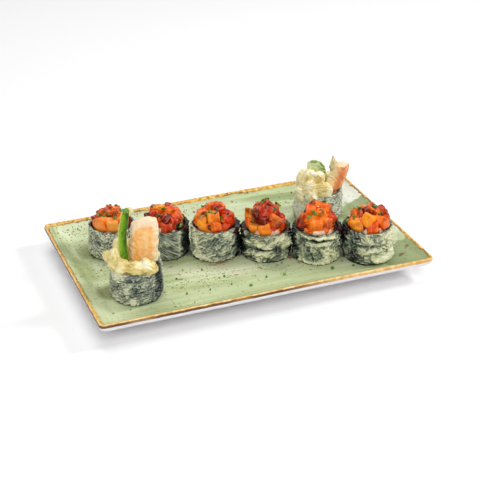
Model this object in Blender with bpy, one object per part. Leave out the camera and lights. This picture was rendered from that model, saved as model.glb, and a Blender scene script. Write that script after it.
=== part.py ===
# A rectangular stoneware plate with eight pieces of a battered salmon tartare roll. Six pieces stand in a
# slanting row with a heap of diced salmon on top, and the roll's two tall end pieces stand either side.
# Metres, +Z up. The origin is the middle of the plate's foot, and +X runs along the plate's long side.
import math
import random

import bmesh
import bpy
from mathutils import Euler, Matrix, Vector, noise

GAP = 0.0003  # clearance between two pieces that rest on or in each other

PLATE_LENGTH = 0.270
PLATE_WIDTH = 0.168
PLATE_HEIGHT = 0.0190
WELL_FLOOR = 0.0100  # top of the flat middle, where the food stands
WALL_FOOT = 0.0200  # how far in from the rim's edge the flat middle starts
LIP = 0.0014  # how far in from the rim's edge its highest line runs
RIM_CORNER = 0.0042  # radius of the plate's corners, seen from above
WELL_CORNER = 0.0034  # radius where the wall's creases run into the well
CORNER_STEPS = 4

WRAP_WALL = 0.0017  # seaweed and batter together
WRAP_SIDES = 26
WRAP_LEVELS = 5
FILLING_SIDES = 18
STRIP_SIDES = 10

ROW_START = Vector((-0.0902, 0.0351))
ROW_END = Vector((0.0957, -0.0450))
ROW_TURN = math.atan2(ROW_END.y - ROW_START.y, ROW_END.x - ROW_START.x)

# One entry for each topped piece, from the left end of the row. The crown is how high the middles of the
# top dice lie above the rim. A fold of batter is (degrees round the piece, with the front at -90, share of
# its height, half width in degrees, half height as a share, lift in mm). The dice that show at the front
# are (along the row in mm, climb, size in mm). The climb is how far up and over the heap a piece lies: 0
# is at the front of the rim, 1 on top and 2 at the back of the rim.
TOPPED_ROLLS = (
    {
        "name": "roll_1",
        "nudge": (0.0, 0.0),
        "radius": 0.0182,
        "height": 0.0250,
        "crown": 0.0118,
        "seed": 11,
        "folds": ((-60, 0.62, 14, 0.10, 1.2), (-64, 0.40, 16, 0.08, 1.0), (-135, 0.20, 30, 0.14, 0.8)),
        "dice": (
            (-6.5, 0.20, 11.0), (2.0, 0.26, 9.5), (-10.0, 0.62, 7.0), (-4.5, 0.92, 7.5), (0.5, 1.05, 7.0),
            (5.0, 0.80, 8.5), (6.0, 0.45, 8.0), (10.5, 0.75, 7.0), (12.0, 0.30, 6.0),
        ),
    },
    {
        "name": "roll_2",
        "nudge": (0.0023, 0.0014),
        "radius": 0.0184,
        "height": 0.0245,
        "crown": 0.0138,
        "seed": 29,
        "folds": ((-52, 0.50, 7, 0.60, 0.9), (-100, 0.15, 40, 0.10, 0.6), (140, 0.60, 20, 0.15, 1.0)),
        "dice": (
            (-4.0, 1.00, 7.5), (-6.5, 0.72, 7.0), (3.5, 0.98, 8.0), (9.0, 0.80, 8.0), (8.5, 0.50, 8.0),
            (1.5, 0.45, 9.0), (2.0, 0.12, 9.5), (-12.0, 0.60, 6.0), (-6.5, 0.35, 7.0), (10.0, 0.14, 6.5),
        ),
    },
    {
        "name": "roll_3",
        "nudge": (0.0, 0.0),
        "radius": 0.0182,
        "height": 0.0262,
        "crown": 0.0142,
        "seed": 37,
        "folds": (
            (-122, 0.17, 34, 0.12, 1.7),
            (-70, 0.34, 30, 0.09, 0.9),
            (-140, 0.70, 16, 0.18, 1.1),
            (-96, 0.45, 26, 0.07, -0.7),
        ),
        "dice": (
            (-9.5, 0.40, 8.5), (-0.5, 0.55, 8.5), (-7.5, 0.08, 8.5), (1.8, 0.15, 8.5), (-8.5, 0.92, 6.5),
            (-2.0, 1.18, 8.0), (3.5, 1.20, 7.5), (3.0, 0.82, 8.0), (11.5, 0.45, 9.5), (8.5, 0.10, 6.5),
            (10.5, 0.85, 7.0),
        ),
    },
    {
        "name": "roll_4",
        "nudge": (0.0010, 0.0002),
        "radius": 0.0184,
        "height": 0.0240,
        "crown": 0.0186,
        "seed": 43,
        "folds": (
            (-100, 0.50, 26, 0.06, -1.2),
            (-108, 0.66, 30, 0.09, 1.1),
            (-104, 0.33, 26, 0.09, 1.3),
            (-44, 0.84, 15, 0.13, 2.2),
            (-28, 0.62, 9, 0.12, 2.0),
        ),
        "dice": (
            (-12.6, 0.95, 7.5), (-0.8, 0.72, 10.5), (0.2, 1.05, 9.0), (6.0, 0.42, 9.0), (-2.5, 0.40, 9.0),
            (-12.8, 0.35, 7.5), (-9.5, 0.12, 7.5), (-1.0, 0.14, 8.5), (12.0, 0.24, 8.0), (5.5, 0.95, 8.0),
            (-6.5, 0.85, 7.5),
        ),
    },
    {
        "name": "roll_5",
        "nudge": (0.0, -0.0016),
        "radius": 0.0184,
        "height": 0.0262,
        "crown": 0.0175,
        "seed": 53,
        "folds": (
            (-84, 0.92, 34, 0.05, 1.0),
            (-86, 0.82, 26, 0.04, -1.1),
            (-84, 0.70, 28, 0.07, 1.4),
            (-62, 0.30, 10, 0.28, 1.2),
            (-96, 0.05, 30, 0.07, 0.7),
        ),
        "dice": (
            (-12.5, 0.32, 8.5), (-3.2, 1.10, 8.0), (-5.8, 0.82, 8.0), (5.5, 1.10, 8.0), (-10.0, 0.66, 7.0),
            (1.3, 0.62, 8.5), (-2.4, 0.30, 10.0), (7.2, 0.35, 8.5), (9.0, 0.68, 7.0), (-6.8, 0.03, 5.5),
        ),
    },
    {
        "name": "roll_6",
        "nudge": (0.0, 0.0),
        "radius": 0.0191,
        "height": 0.0274,
        "crown": 0.0124,
        "seed": 67,
        "folds": (
            (-84, 0.62, 34, 0.05, -0.9),
            (-80, 0.74, 34, 0.07, 0.9),
            (-78, 0.45, 30, 0.07, 1.0),
            (-52, 0.18, 24, 0.11, 2.2),
            (-60, 0.86, 14, 0.10, 1.0),
        ),
        "dice": (
            (-9.8, 0.17, 8.5), (-13.0, 0.42, 6.5), (-0.5, 0.48, 9.5), (2.5, 0.15, 9.5), (7.2, 0.50, 7.5),
            (-2.4, 0.82, 7.5), (-7.7, 0.85, 7.0), (4.3, 0.86, 8.0), (9.6, 1.10, 8.0), (11.0, 0.28, 7.5),
            (13.2, 0.75, 6.5),
        ),
    },
)
# Reach of the dome on which the middles of the dice lie, as shares of the radius.
DOME_ALONG = 0.78
DOME_DEEP = 0.70
# Dice behind the crown, hidden from the front: climb, and how many lie side by side at it.
BACK_TIERS = ((1.40, 3), (1.80, 4))
BACK_DICE = 8.2  # mm
CORE_SIDES = 10
SLEEVE = 0.0080  # how far out a heap is cut back at the level of the rim
HEAP_SINK = 0.0012  # how far the foot of a heap is under the rim of its wrap

# The roll's two ends, with strips of salmon and avocado standing out of the batter.
END_ROLLS = (
    {
        "name": "end_1",
        "place": (-0.0926, -0.0355),
        "radius": 0.0190,
        "height": 0.0258,
        "seed": 71,
        "folds": (
            (-136, 0.86, 17, 0.15, 2.2),
            (-106, 0.45, 8, 0.22, 1.3),
            (-92, 0.10, 9, 0.12, 1.2),
            (-60, 0.60, 8, 0.35, 0.8),
        ),
    },
    {
        "name": "end_2",
        "place": (0.0884, 0.0325),
        "radius": 0.0200,
        "height": 0.0252,
        "seed": 83,
        "folds": ((-150, 0.40, 24, 0.30, 1.6), (-60, 0.30, 22, 0.20, 1.0), (20, 0.70, 24, 0.15, 1.0)),
    },
)

# A strip stands in its wrap and leans out of it. The mouth is its middle at the wrap's rim, along the row
# and away from the front, and the tip also has its height above the well. Inside the wrap it is pressed
# to the share of its size that snug gives. A crust is a lump of batter stuck to it.
STRIPS = {
    "end_1": (
        {
            "name": "salmon",
            "mouth": (0.0052, 0.0030),
            "tip": (0.0070, 0.0045, 0.0620),
            "width": 0.0225,
            "depth": 0.0100,
            "turn": 4,
            "bow": 0.0008,
            "snug": 0.74,
            "tip_share": 0.60,
            "crusts": (),
        },
        {
            "name": "avocado",
            "mouth": (-0.0062, -0.0080),
            "tip": (-0.0050, -0.0010, 0.0725),
            "width": 0.0068,
            "depth": 0.0062,
            "turn": 10,
            "bow": -0.0026,
            "snug": 0.70,
            "tip_share": 0.85,
            "crusts": (((-0.0034, 0.0012, 0.0700), (0.0034, 0.0028, 0.0032)),),
        },
    ),
    "end_2": (
        {
            "name": "salmon",
            "mouth": (0.0088, -0.0030),
            "tip": (0.0185, 0.0, 0.0490),
            "width": 0.0150,
            "depth": 0.0125,
            "turn": -30,
            "bow": 0.0012,
            "snug": 0.66,
            "tip_share": 0.76,
            "crusts": (((0.0120, -0.0015, 0.0485), (0.0030, 0.0030, 0.0072)),),
        },
        {
            "name": "avocado",
            "mouth": (-0.0020, 0.0050),
            "tip": (-0.0038, 0.0040, 0.0480),
            "width": 0.0165,
            "depth": 0.0066,
            "turn": 14,
            "bow": 0.0016,
            "snug": 0.66,
            "tip_share": 0.66,
            "crusts": (),
        },
    ),
}

# Swellings of batter over the rim of an end piece, each with its middle (along the row, away from the
# front, above the well) and its half sizes.
BATTER_LUMPS = {
    "end_1": (
        ((0.0100, -0.0115, 0.0295), (0.0080, 0.0054, 0.0054)),
        ((0.0015, -0.0130, 0.0290), (0.0070, 0.0050, 0.0052)),
        ((-0.0085, -0.0110, 0.0290), (0.0060, 0.0056, 0.0064)),
        ((-0.0140, -0.0050, 0.0320), (0.0062, 0.0078, 0.0088)),
        ((-0.0195, -0.0010, 0.0325), (0.0042, 0.0044, 0.0046)),
        ((-0.0120, 0.0020, 0.0385), (0.0046, 0.0060, 0.0084)),
        ((-0.0030, 0.0090, 0.0330), (0.0090, 0.0050, 0.0090)),
        ((0.0130, 0.0080, 0.0290), (0.0060, 0.0070, 0.0070)),
    ),
    "end_2": (
        ((0.0040, -0.0135, 0.0290), (0.0072, 0.0060, 0.0074)),
        ((-0.0070, -0.0115, 0.0300), (0.0068, 0.0062, 0.0086)),
        ((-0.0130, -0.0030, 0.0310), (0.0060, 0.0080, 0.0120)),
        ((-0.0080, -0.0060, 0.0385), (0.0058, 0.0054, 0.0058)),
        ((-0.0005, -0.0075, 0.0375), (0.0056, 0.0052, 0.0062)),
        ((-0.0070, 0.0110, 0.0290), (0.0090, 0.0060, 0.0080)),
        ((0.0090, 0.0105, 0.0280), (0.0062, 0.0060, 0.0068)),
    ),
}
LUMP_RELIEF = 0.22  # how uneven a lump is, as a share of its size

CHIVE_SIZE = (0.0024, 0.0016, 0.0009)
# Chopped chives lying in the well, each with its place on the plate in mm and its turn in degrees.
PLATE_CHIVES = (
    (-62.5, -22.5, 10), (-59.0, -29.0, 70), (-42.0, -34.5, 30), (-16.0, -43.0, 120), (-56.0, -44.5, 50),
    (-1.5, -56.0, 15), (-33.0, -56.0, 95), (18.0, -56.0, 150), (47.0, -52.0, 40), (-96.0, 10.0, 80),
    (62.0, -54.5, 110), (72.0, 6.0, 60),
)


def clear_scene():
    for obj in list(bpy.data.objects):
        bpy.data.objects.remove(obj)


def material(name, colour, roughness, metallic=0.0):
    made = bpy.data.materials.new(name)
    made.use_nodes = True
    shader = made.node_tree.nodes["Principled BSDF"]
    shader.inputs["Base Color"].default_value = (*colour, 1.0)
    shader.inputs["Roughness"].default_value = roughness
    shader.inputs["Metallic"].default_value = metallic
    return made


def finish(name, bm, look, frame=None, sharp=40):
    """Makes one named object of the mesh, moved by the frame, with its faces pointing out."""
    if frame:
        bmesh.ops.transform(bm, matrix=frame, verts=bm.verts)
    bmesh.ops.recalc_face_normals(bm, faces=bm.faces)
    mesh = bpy.data.meshes.new(name)
    bm.to_mesh(mesh)
    bm.free()
    mesh.shade_smooth()
    mesh.set_sharp_from_angle(angle=math.radians(sharp))
    obj = bpy.data.objects.new(name, mesh)
    bpy.context.scene.collection.objects.link(obj)
    obj.data.materials.append(look)
    return obj


def around(count):
    return [i / count * 2 * math.pi for i in range(count)]


def loft(rings, closed=False):
    """Joins rings of points that all have the same count. A closed loft runs back into its first ring."""
    bm = bmesh.new()
    rows = [[bm.verts.new(point) for point in ring] for ring in rings]
    sides = len(rows[0])
    pairs = list(zip(rows, rows[1:])) + ([(rows[-1], rows[0])] if closed else [])
    for lower, upper in pairs:
        for i in range(sides):
            j = (i + 1) % sides
            bm.faces.new((lower[i], lower[j], upper[j], upper[i]))
    if not closed:
        bm.faces.new(rows[0])
        bm.faces.new(rows[-1])
    return bm


def box(sizes):
    bm = bmesh.new()
    bmesh.ops.create_cube(bm, size=1.0)
    bmesh.ops.scale(bm, vec=sizes, verts=bm.verts)
    return bm


def lump(middle, halves, seed):
    """An uneven ball of batter."""
    bm = bmesh.new()
    bmesh.ops.create_icosphere(bm, subdivisions=2, radius=1.0)
    for vert in bm.verts:
        swell = 1 + LUMP_RELIEF * noise.noise(vert.co * 1.7 + Vector((seed, 0, 0)))
        vert.co = Vector([side * half * swell for side, half in zip(vert.co, halves)]) + Vector(middle)
    return bm


def fuse(obj, pieces, cutters=()):
    """Unions the pieces into the object, cuts the cutters out of it, and keeps its largest body."""
    for operation, tools in (("UNION", pieces), ("DIFFERENCE", cutters)):
        if not tools:
            continue
        group = bpy.data.collections.new(f"{obj.name}_{operation.lower()}")
        bpy.context.scene.collection.children.link(group)
        for tool in tools:
            bpy.context.scene.collection.objects.unlink(tool)
            group.objects.link(tool)
        boolean = obj.modifiers.new(operation.capitalize(), "BOOLEAN")
        boolean.operation = operation
        boolean.operand_type = "COLLECTION"
        boolean.collection = group
        boolean.solver = "MANIFOLD"
        bpy.context.view_layer.objects.active = obj
        bpy.ops.object.modifier_apply(modifier=boolean.name)
        for tool in tools:
            bpy.data.objects.remove(tool)
        bpy.data.collections.remove(group)
    keep_largest(obj)


def keep_largest(obj):
    """Drops any loose scrap that a cut left behind."""
    bm = bmesh.new()
    bm.from_mesh(obj.data)
    bmesh.ops.remove_doubles(bm, verts=bm.verts, dist=1e-6)
    left = set(bm.verts)
    bodies = []
    while left:
        body, edge = set(), [left.pop()]
        while edge:
            vert = edge.pop()
            body.add(vert)
            near = {link.other_vert(vert) for link in vert.link_edges} & left
            left -= near
            edge.extend(near)
        bodies.append(body)
    largest = max(bodies, key=len)
    bmesh.ops.delete(bm, geom=[vert for vert in bm.verts if vert not in largest], context="VERTS")
    bm.to_mesh(obj.data)
    bm.free()


def rounded_rectangle(inset, height):
    """A loop of the plate, that far in from the rim's edge."""
    corner = max(RIM_CORNER - inset * 0.3, WELL_CORNER)
    points = []
    for quarter in range(4):
        side_x = 1 if quarter in (0, 3) else -1
        side_y = 1 if quarter in (0, 1) else -1
        middle = Vector((
            side_x * (PLATE_LENGTH / 2 - inset - corner),
            side_y * (PLATE_WIDTH / 2 - inset - corner),
            height,
        ))
        for step in range(CORNER_STEPS + 1):
            turn = (quarter + step / CORNER_STEPS) * math.pi / 2
            points.append(middle + corner * Vector((math.cos(turn), math.sin(turn), 0)))
    return points


def plate_profile():
    """(inset, height) of the plate's loops, from the middle of the well over the rim to the foot."""
    wall = []
    for share in (1.0, 0.8, 0.55, 0.3, 0.12):
        rise = (1 - share) ** 1.35 * (PLATE_HEIGHT - WELL_FLOOR)
        wall.append((LIP + (WALL_FOOT - LIP) * share, WELL_FLOOR + rise))
    lip = [
        (LIP, PLATE_HEIGHT),
        (0.0003, PLATE_HEIGHT - 0.0006),
        (0.0, PLATE_HEIGHT - 0.0018),
        (0.0003, PLATE_HEIGHT - 0.0046),
    ]
    under = [(0.0024, 0.0122), (0.0100, 0.0080), (0.0190, 0.0048), (0.0270, 0.0034)]
    foot = [(0.0285, 0.0004), (0.0292, 0.0), (0.0322, 0.0), (0.0330, 0.0004), (0.0345, 0.0034)]
    return wall + lip + under + foot


def make_plate(look, chive_look):
    bm = loft([rounded_rectangle(inset, height) for inset, height in plate_profile()])
    plate = finish("plate", bm, look, sharp=50)
    chives = []
    for i, (x, y, turn) in enumerate(PLATE_CHIVES):
        place = Matrix.Translation((x / 1000, y / 1000, WELL_FLOOR + CHIVE_SIZE[2] / 2 - GAP))
        turned = place @ Matrix.Rotation(math.radians(turn), 4, "Z")
        chives.append(finish(f"strewn_chive_{i}", box(CHIVE_SIZE), chive_look, turned))
    fuse(plate, chives)


def roll_frame(place):
    """The frame of one piece: +X along the row, -Y to the front, and its origin on the well."""
    return Matrix.Translation((place[0], place[1], WELL_FLOOR)) @ Matrix.Rotation(ROW_TURN, 4, "Z")


def barrel(share):
    """How the side of a piece swells between its foot and its rim."""
    return 1.0 - 0.07 * max(0.0, 0.2 - share) / 0.2 - 0.03 * share ** 2


def side_radius(roll, turn, share):
    """The outer radius of a wrap, with its dents, wrinkles and folds of batter."""
    spot = Vector((math.cos(turn), math.sin(turn), share * 1.4))
    radius = roll["radius"] * barrel(share)
    radius += 0.0009 * noise.noise(spot * 1.3 + Vector((roll["seed"], 0, 0)))
    radius += 0.0006 * noise.noise(spot * 3.1 + Vector((0, roll["seed"], 0)))
    for middle, level, half_turn, half_height, lift in roll["folds"]:
        away = (math.degrees(turn) - middle + 180) % 360 - 180
        near = math.exp(-((away / half_turn) ** 2) - ((share - level) / half_height) ** 2)
        radius += lift / 1000 * near
    return radius


def rim_height(roll, turn):
    """The uneven top edge of a wrap, a little higher at the back."""
    ripple = 0.0007 * noise.noise(Vector((2 * math.cos(turn), 2 * math.sin(turn), roll["seed"])))
    return roll["height"] + ripple + 0.0006 * (1 + math.sin(turn))


def bore(roll):
    """The inner radius of a wrap."""
    return roll["radius"] * barrel(0) - WRAP_WALL


def wrap_rings(roll, grow=0.0, spread=0.0):
    """Loops up the outside of a wrap, over its rim and down the inside. Grown and spread, it is a cutter."""
    foot = GAP - grow
    rings = []
    for level in range(WRAP_LEVELS + 1):
        share = level / WRAP_LEVELS
        ring = []
        for turn in around(WRAP_SIDES):
            out = side_radius(roll, turn, share) + grow + spread
            height = foot + share * (rim_height(roll, turn) + grow - foot)
            ring.append(Vector((out * math.cos(turn), out * math.sin(turn), height)))
        rings.append(ring)
    for top in (True, False):
        ring = []
        for turn in around(WRAP_SIDES):
            out = bore(roll) - grow
            height = rim_height(roll, turn) + grow if top else foot
            ring.append(Vector((out * math.cos(turn), out * math.sin(turn), height)))
        rings.append(ring)
    return rings


def make_wrap(roll, frame, look, grow=0.0, spread=0.0):
    return finish(f"{roll['name']}_wrap", loft(wrap_rings(roll, grow, spread), closed=True), look, frame)


def filling_rings(roll, crown, grow=0.0):
    """A plug that fits inside a wrap, with a low crown on top."""
    reach = bore(roll) - GAP + grow
    rim = roll["height"] - HEAP_SINK + grow
    levels = ((1.0, GAP - grow), (1.0, rim - 0.0008), (0.75, rim + crown))
    rings = []
    for share, height in levels:
        out = reach * share
        rings.append([
            Vector((out * math.cos(turn), out * math.sin(turn), height)) for turn in around(FILLING_SIDES)
        ])
    return rings


def make_filling(roll, frame, look, grow=0.0):
    return finish(f"{roll['name']}_filling", loft(filling_rings(roll, 0.0004, grow)), look, frame)


def on_dome(roll, along, climb):
    """The middle of a piece of a heap, from how far along the row it is and how far up and over."""
    span = math.sqrt(max(1 - (along / (roll["radius"] * DOME_ALONG)) ** 2, 0.0))
    over = climb * math.pi / 2
    deep = -roll["radius"] * DOME_DEEP * span * math.cos(over)
    up = roll["crown"] * math.sqrt(span) * math.sin(over)
    return Vector((along, deep, roll["height"] + up))


def heap_dice(roll):
    """(middle, size) of each piece of diced salmon: those that show, then the tiers behind them."""
    dice = [(on_dome(roll, along / 1000, climb), size / 1000) for along, climb, size in roll["dice"]]
    draw = random.Random(roll["seed"])
    for climb, count in BACK_TIERS:
        for i in range(count):
            along = roll["radius"] * 0.62 * (2 * (i + 0.5) / count - 1) + draw.uniform(-0.001, 0.001)
            dice.append((on_dome(roll, along, climb), BACK_DICE / 1000 * draw.uniform(0.85, 1.1)))
    return dice


def heap_core(roll):
    """The minced salmon under the dice, a plain dome."""
    foot = roll["height"] - HEAP_SINK + 2 * GAP
    rings = []
    for share in (0.0, 0.35, 0.7, 0.9):
        out = roll["radius"] * 0.74 * math.sqrt(1 - share ** 2)
        height = foot + (roll["crown"] + HEAP_SINK) * share
        rings.append([
            Vector((out * math.cos(turn), out * math.sin(turn), height)) for turn in around(CORE_SIDES)
        ])
    return rings


def make_heap(roll, frame, look):
    heap = finish(f"{roll['name']}_tartare", loft(heap_core(roll)), look, frame)
    draw = random.Random(roll["seed"] + 1)
    dice = []
    for i, (middle, size) in enumerate(heap_dice(roll)):
        sizes = [size * draw.uniform(0.88, 1.08) for _ in range(3)]
        turned = Euler((draw.uniform(-0.35, 0.35), draw.uniform(-0.35, 0.35), draw.uniform(-0.7, 0.7)))
        place = Matrix.Translation(middle) @ turned.to_matrix().to_4x4()
        dice.append(finish(f"{roll['name']}_dice_{i}", box(sizes), look, frame @ place))
    fuse(heap, dice, [make_wrap(roll, frame, look, GAP, SLEEVE), make_filling(roll, frame, look, GAP)])


def strip_rings(roll, strip, grow=0.0):
    """Loops up a strip: slim inside the wrap, full above the rim, and rounded towards its tip."""
    mouth = Vector((*strip["mouth"], roll["height"] + 0.0015))
    tip = Vector(strip["tip"])
    foot = Vector((mouth.x * 0.8, mouth.y * 0.8, GAP))
    stations = [(foot, strip["snug"]), (mouth, strip["snug"])]
    for share in (0.14, 0.35, 0.6, 0.8, 0.92, 1.0):
        bow = Vector((strip["bow"] * math.sin(math.pi * share), 0, 0))
        rounding = (1 - strip["tip_share"]) * max(0.0, (share - 0.6) / 0.4) ** 2.4
        stations.append((mouth.lerp(tip, share) + bow, 1 - rounding))
    stations[0][0].z -= grow
    stations[-1][0].z += grow
    facing = Matrix.Rotation(math.radians(strip["turn"]), 3, "Z")
    rings = []
    for middle, size in stations:
        ring = []
        for turn in around(STRIP_SIDES):
            # A circle pressed out towards its corners.
            square = 0.93 * max(abs(math.cos(turn)), abs(math.sin(turn))) ** -0.45
            across = (strip["width"] / 2 * size * square + grow) * math.cos(turn)
            deep = (strip["depth"] / 2 * size * square + grow) * math.sin(turn)
            ring.append(middle + facing @ Vector((across, deep, 0)))
        rings.append(ring)
    return rings


def make_strip(roll, strip, frame, look, grow=0.0):
    obj = finish(f"{roll['name']}_{strip['name']}", loft(strip_rings(roll, strip, grow)), look, frame)
    crusts = []
    for i, (middle, halves) in enumerate(strip["crusts"]):
        halves = [half + grow for half in halves]
        crusts.append(finish(f"{roll['name']}_crust_{i}", lump(middle, halves, roll["seed"] + i), look, frame))
    if crusts:
        fuse(obj, crusts)
    return obj


def make_batter(roll, frame, look):
    """The filling of an end piece, which swells out over the rim in lumps and folds of batter."""
    batter = finish(f"{roll['name']}_batter", loft(filling_rings(roll, 0.0040)), look, frame)
    lumps = []
    for i, (middle, halves) in enumerate(BATTER_LUMPS[roll["name"]]):
        lumps.append(finish(f"{roll['name']}_lump_{i}", lump(middle, halves, roll["seed"] + i), look, frame))
    cutters = [make_wrap(roll, frame, look, GAP)]
    cutters += [make_strip(roll, strip, frame, look, GAP) for strip in STRIPS[roll["name"]]]
    fuse(batter, lumps, cutters)


def make_topped_roll(index, roll, looks):
    spot = ROW_START.lerp(ROW_END, index / (len(TOPPED_ROLLS) - 1)) + Vector(roll["nudge"])
    frame = roll_frame(spot)
    make_heap(roll, frame, looks["salmon"])
    make_wrap(roll, frame, looks["wrap"])
    make_filling(roll, frame, looks["filling"])


def make_end_roll(roll, looks):
    frame = roll_frame(roll["place"])
    make_batter(roll, frame, looks["batter"])
    make_wrap(roll, frame, looks["wrap"])
    for strip in STRIPS[roll["name"]]:
        make_strip(roll, strip, frame, looks[strip["name"]])


def main():
    clear_scene()
    looks = {
        "plate": material("green_glaze", (0.50, 0.58, 0.40), 0.25),
        "chive": material("chive", (0.10, 0.30, 0.05), 0.5),
        "wrap": material("battered_seaweed", (0.20, 0.22, 0.17), 0.55),
        "filling": material("rice_filling", (0.85, 0.72, 0.62), 0.5),
        "salmon": material("salmon", (0.90, 0.28, 0.06), 0.3),
        "batter": material("batter", (0.85, 0.78, 0.50), 0.5),
        "avocado": material("avocado", (0.22, 0.40, 0.05), 0.45),
    }
    make_plate(looks["plate"], looks["chive"])
    for index, roll in enumerate(TOPPED_ROLLS):
        make_topped_roll(index, roll, looks)
    for roll in END_ROLLS:
        make_end_roll(roll, looks)


main()
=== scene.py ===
import math
import random

import bmesh
import bpy
from mathutils import Euler, Matrix, Vector, noise
from mathutils.bvhtree import BVHTree


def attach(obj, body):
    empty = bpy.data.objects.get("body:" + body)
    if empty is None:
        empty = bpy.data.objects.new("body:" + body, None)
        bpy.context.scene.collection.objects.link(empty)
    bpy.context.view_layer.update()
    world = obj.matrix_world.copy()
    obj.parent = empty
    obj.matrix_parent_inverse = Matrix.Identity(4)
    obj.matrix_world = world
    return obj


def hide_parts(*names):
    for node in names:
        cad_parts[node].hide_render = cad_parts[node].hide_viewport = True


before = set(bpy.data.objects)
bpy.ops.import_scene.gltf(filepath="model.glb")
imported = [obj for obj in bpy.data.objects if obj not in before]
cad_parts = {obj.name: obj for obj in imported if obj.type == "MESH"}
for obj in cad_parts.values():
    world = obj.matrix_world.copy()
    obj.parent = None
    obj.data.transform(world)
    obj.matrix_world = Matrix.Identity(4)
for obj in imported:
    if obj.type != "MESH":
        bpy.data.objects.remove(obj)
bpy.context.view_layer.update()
noise.seed_set(9)  # noise_vector starts from the clock without it
print("frame loaded with", len(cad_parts), "nodes")


# Small tools

def paint(red, green, blue):
    # an 0 to 255 colour as the eye sees it, in the linear values that shaders take
    values = []
    for part in (red, green, blue):
        share = part / 255
        values.append(share / 12.92 if share <= 0.04045 else ((share + 0.055) / 1.055) ** 2.4)
    return (*values, 1.0)


def easeBetween(low, high, value):
    share = min(max((value - low) / (high - low), 0.0), 1.0)
    return share * share * (3 - 2 * share)


def turnAway(turn, middle):
    # degrees between a turn in radians and a middle in degrees
    return (math.degrees(turn) - middle + 180) % 360 - 180


def deselect():
    bpy.ops.object.select_all(action="DESELECT")


def nameLast(name):
    piece = bpy.context.object
    piece.name = name
    piece.data.name = name
    return piece


def settle(name):
    # keeps a new primitive's size and place in its mesh
    bpy.ops.object.transform_apply(location=True, rotation=True, scale=True)
    return nameLast(name)


def copyOf(piece):
    copy = piece.copy()
    copy.data = piece.data.copy()
    bpy.context.scene.collection.objects.link(copy)
    return copy


def makeActive(piece):
    deselect()
    piece.select_set(True)
    bpy.context.view_layer.objects.active = piece


def addCylinder(name, sides, radius, low, high, ends):
    deselect()
    bpy.ops.mesh.primitive_cylinder_add(
        vertices=sides, radius=radius, depth=high - low, end_fill_type=ends, location=(0, 0, (low + high) / 2)
    )
    return settle(name)


def addBall(name, middle, halves):
    deselect()
    bpy.ops.mesh.primitive_ico_sphere_add(subdivisions=4, radius=1, location=middle, scale=halves)
    return settle(name)


def openMesh(piece, kind):
    makeActive(piece)
    bpy.ops.object.mode_set(mode="EDIT")
    bpy.ops.mesh.select_mode(type=kind)
    bpy.ops.mesh.select_all(action="DESELECT")


def closeMesh(outwards=False):
    if outwards:
        bpy.ops.mesh.select_all(action="SELECT")
        bpy.ops.mesh.normals_make_consistent(inside=False)
    bpy.ops.object.mode_set(mode="OBJECT")


def pick(piece, kind, wanted):
    # selects the vertices, edges or faces that pass a test of their place
    bpy.ops.mesh.select_all(action="DESELECT")
    mesh = bmesh.from_edit_mesh(piece.data)
    for item in {"VERT": mesh.verts, "EDGE": mesh.edges, "FACE": mesh.faces}[kind]:
        if wanted(item):
            item.select_set(True)
    mesh.select_flush_mode()
    bmesh.update_edit_mesh(piece.data)


def keepShade(piece, name, values):
    shade = piece.data.attributes.new(name, "FLOAT", "POINT")
    shade.data.foreach_set("value", values)


def keepTint(piece, name, colours):
    tint = piece.data.attributes.new(name, "FLOAT_COLOR", "POINT")
    tint.data.foreach_set("color", [part for colour in colours for part in colour])


def keepPlace(piece, name, places):
    kept = piece.data.attributes.new(name, "FLOAT_VECTOR", "POINT")
    kept.data.foreach_set("vector", [part for place in places for part in place])


def ridgeAt(spot, sharpness):
    # 1 along winding lines, falling to 0 beside them
    return 1 - min(abs(noise.noise(spot)) * sharpness, 1.0)


def applyModifier(piece, kind, **settings):
    makeActive(piece)
    modifier = piece.modifiers.new(kind.title(), kind)
    for key, value in settings.items():
        setattr(modifier, key, value)
    bpy.ops.object.modifier_apply(modifier=modifier.name)


def joinPieces(pieces, name):
    makeActive(pieces[0])
    for piece in pieces:
        piece.select_set(True)
    bpy.ops.object.join()
    return nameLast(name)


def seat(piece, look, nodes, placing=None):
    # gives a finished piece its place and material, and lets it stand for its CAD nodes
    if placing:
        piece.data.transform(placing)
    piece.data.shade_smooth()
    piece.data.materials.clear()
    piece.data.materials.append(look)
    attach(piece, "root")
    if nodes:
        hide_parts(*nodes)


# Material tools

def newLook(name, **sockets):
    look = bpy.data.materials.new(name)
    look.use_nodes = True
    shader = look.node_tree.nodes["Principled BSDF"]
    for socket, value in sockets.items():
        shader.inputs[socket.replace("_", " ")].default_value = value
    return look


def addNode(look, kind, **values):
    node = look.node_tree.nodes.new(kind)
    for key, value in values.items():
        if hasattr(node, key):
            setattr(node, key, value)
        else:
            node.inputs[key.replace("_", " ")].default_value = value
    return node


def wire(look, giver, taker):
    look.node_tree.links.new(giver, taker)


def shaderOf(look):
    return look.node_tree.nodes["Principled BSDF"]


def feed(look, giver, socket):
    wire(look, giver, shaderOf(look).inputs[socket])


def readShade(look, name, output="Fac"):
    return addNode(look, "ShaderNodeAttribute", attribute_name=name).outputs[output]


def stretchedPlace(look, stretch):
    coords = addNode(look, "ShaderNodeTexCoord")
    mapping = addNode(look, "ShaderNodeMapping", Scale=stretch)
    wire(look, coords.outputs["Object"], mapping.inputs["Vector"])
    return mapping.outputs["Vector"]


def noiseOf(look, vector, scale, detail=3.0, roughness=0.55, distortion=0.0):
    node = addNode(look, "ShaderNodeTexNoise", Scale=scale, Detail=detail, Roughness=roughness)
    node.inputs["Distortion"].default_value = distortion
    wire(look, vector, node.inputs["Vector"])
    return node.outputs["Fac"]


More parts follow.
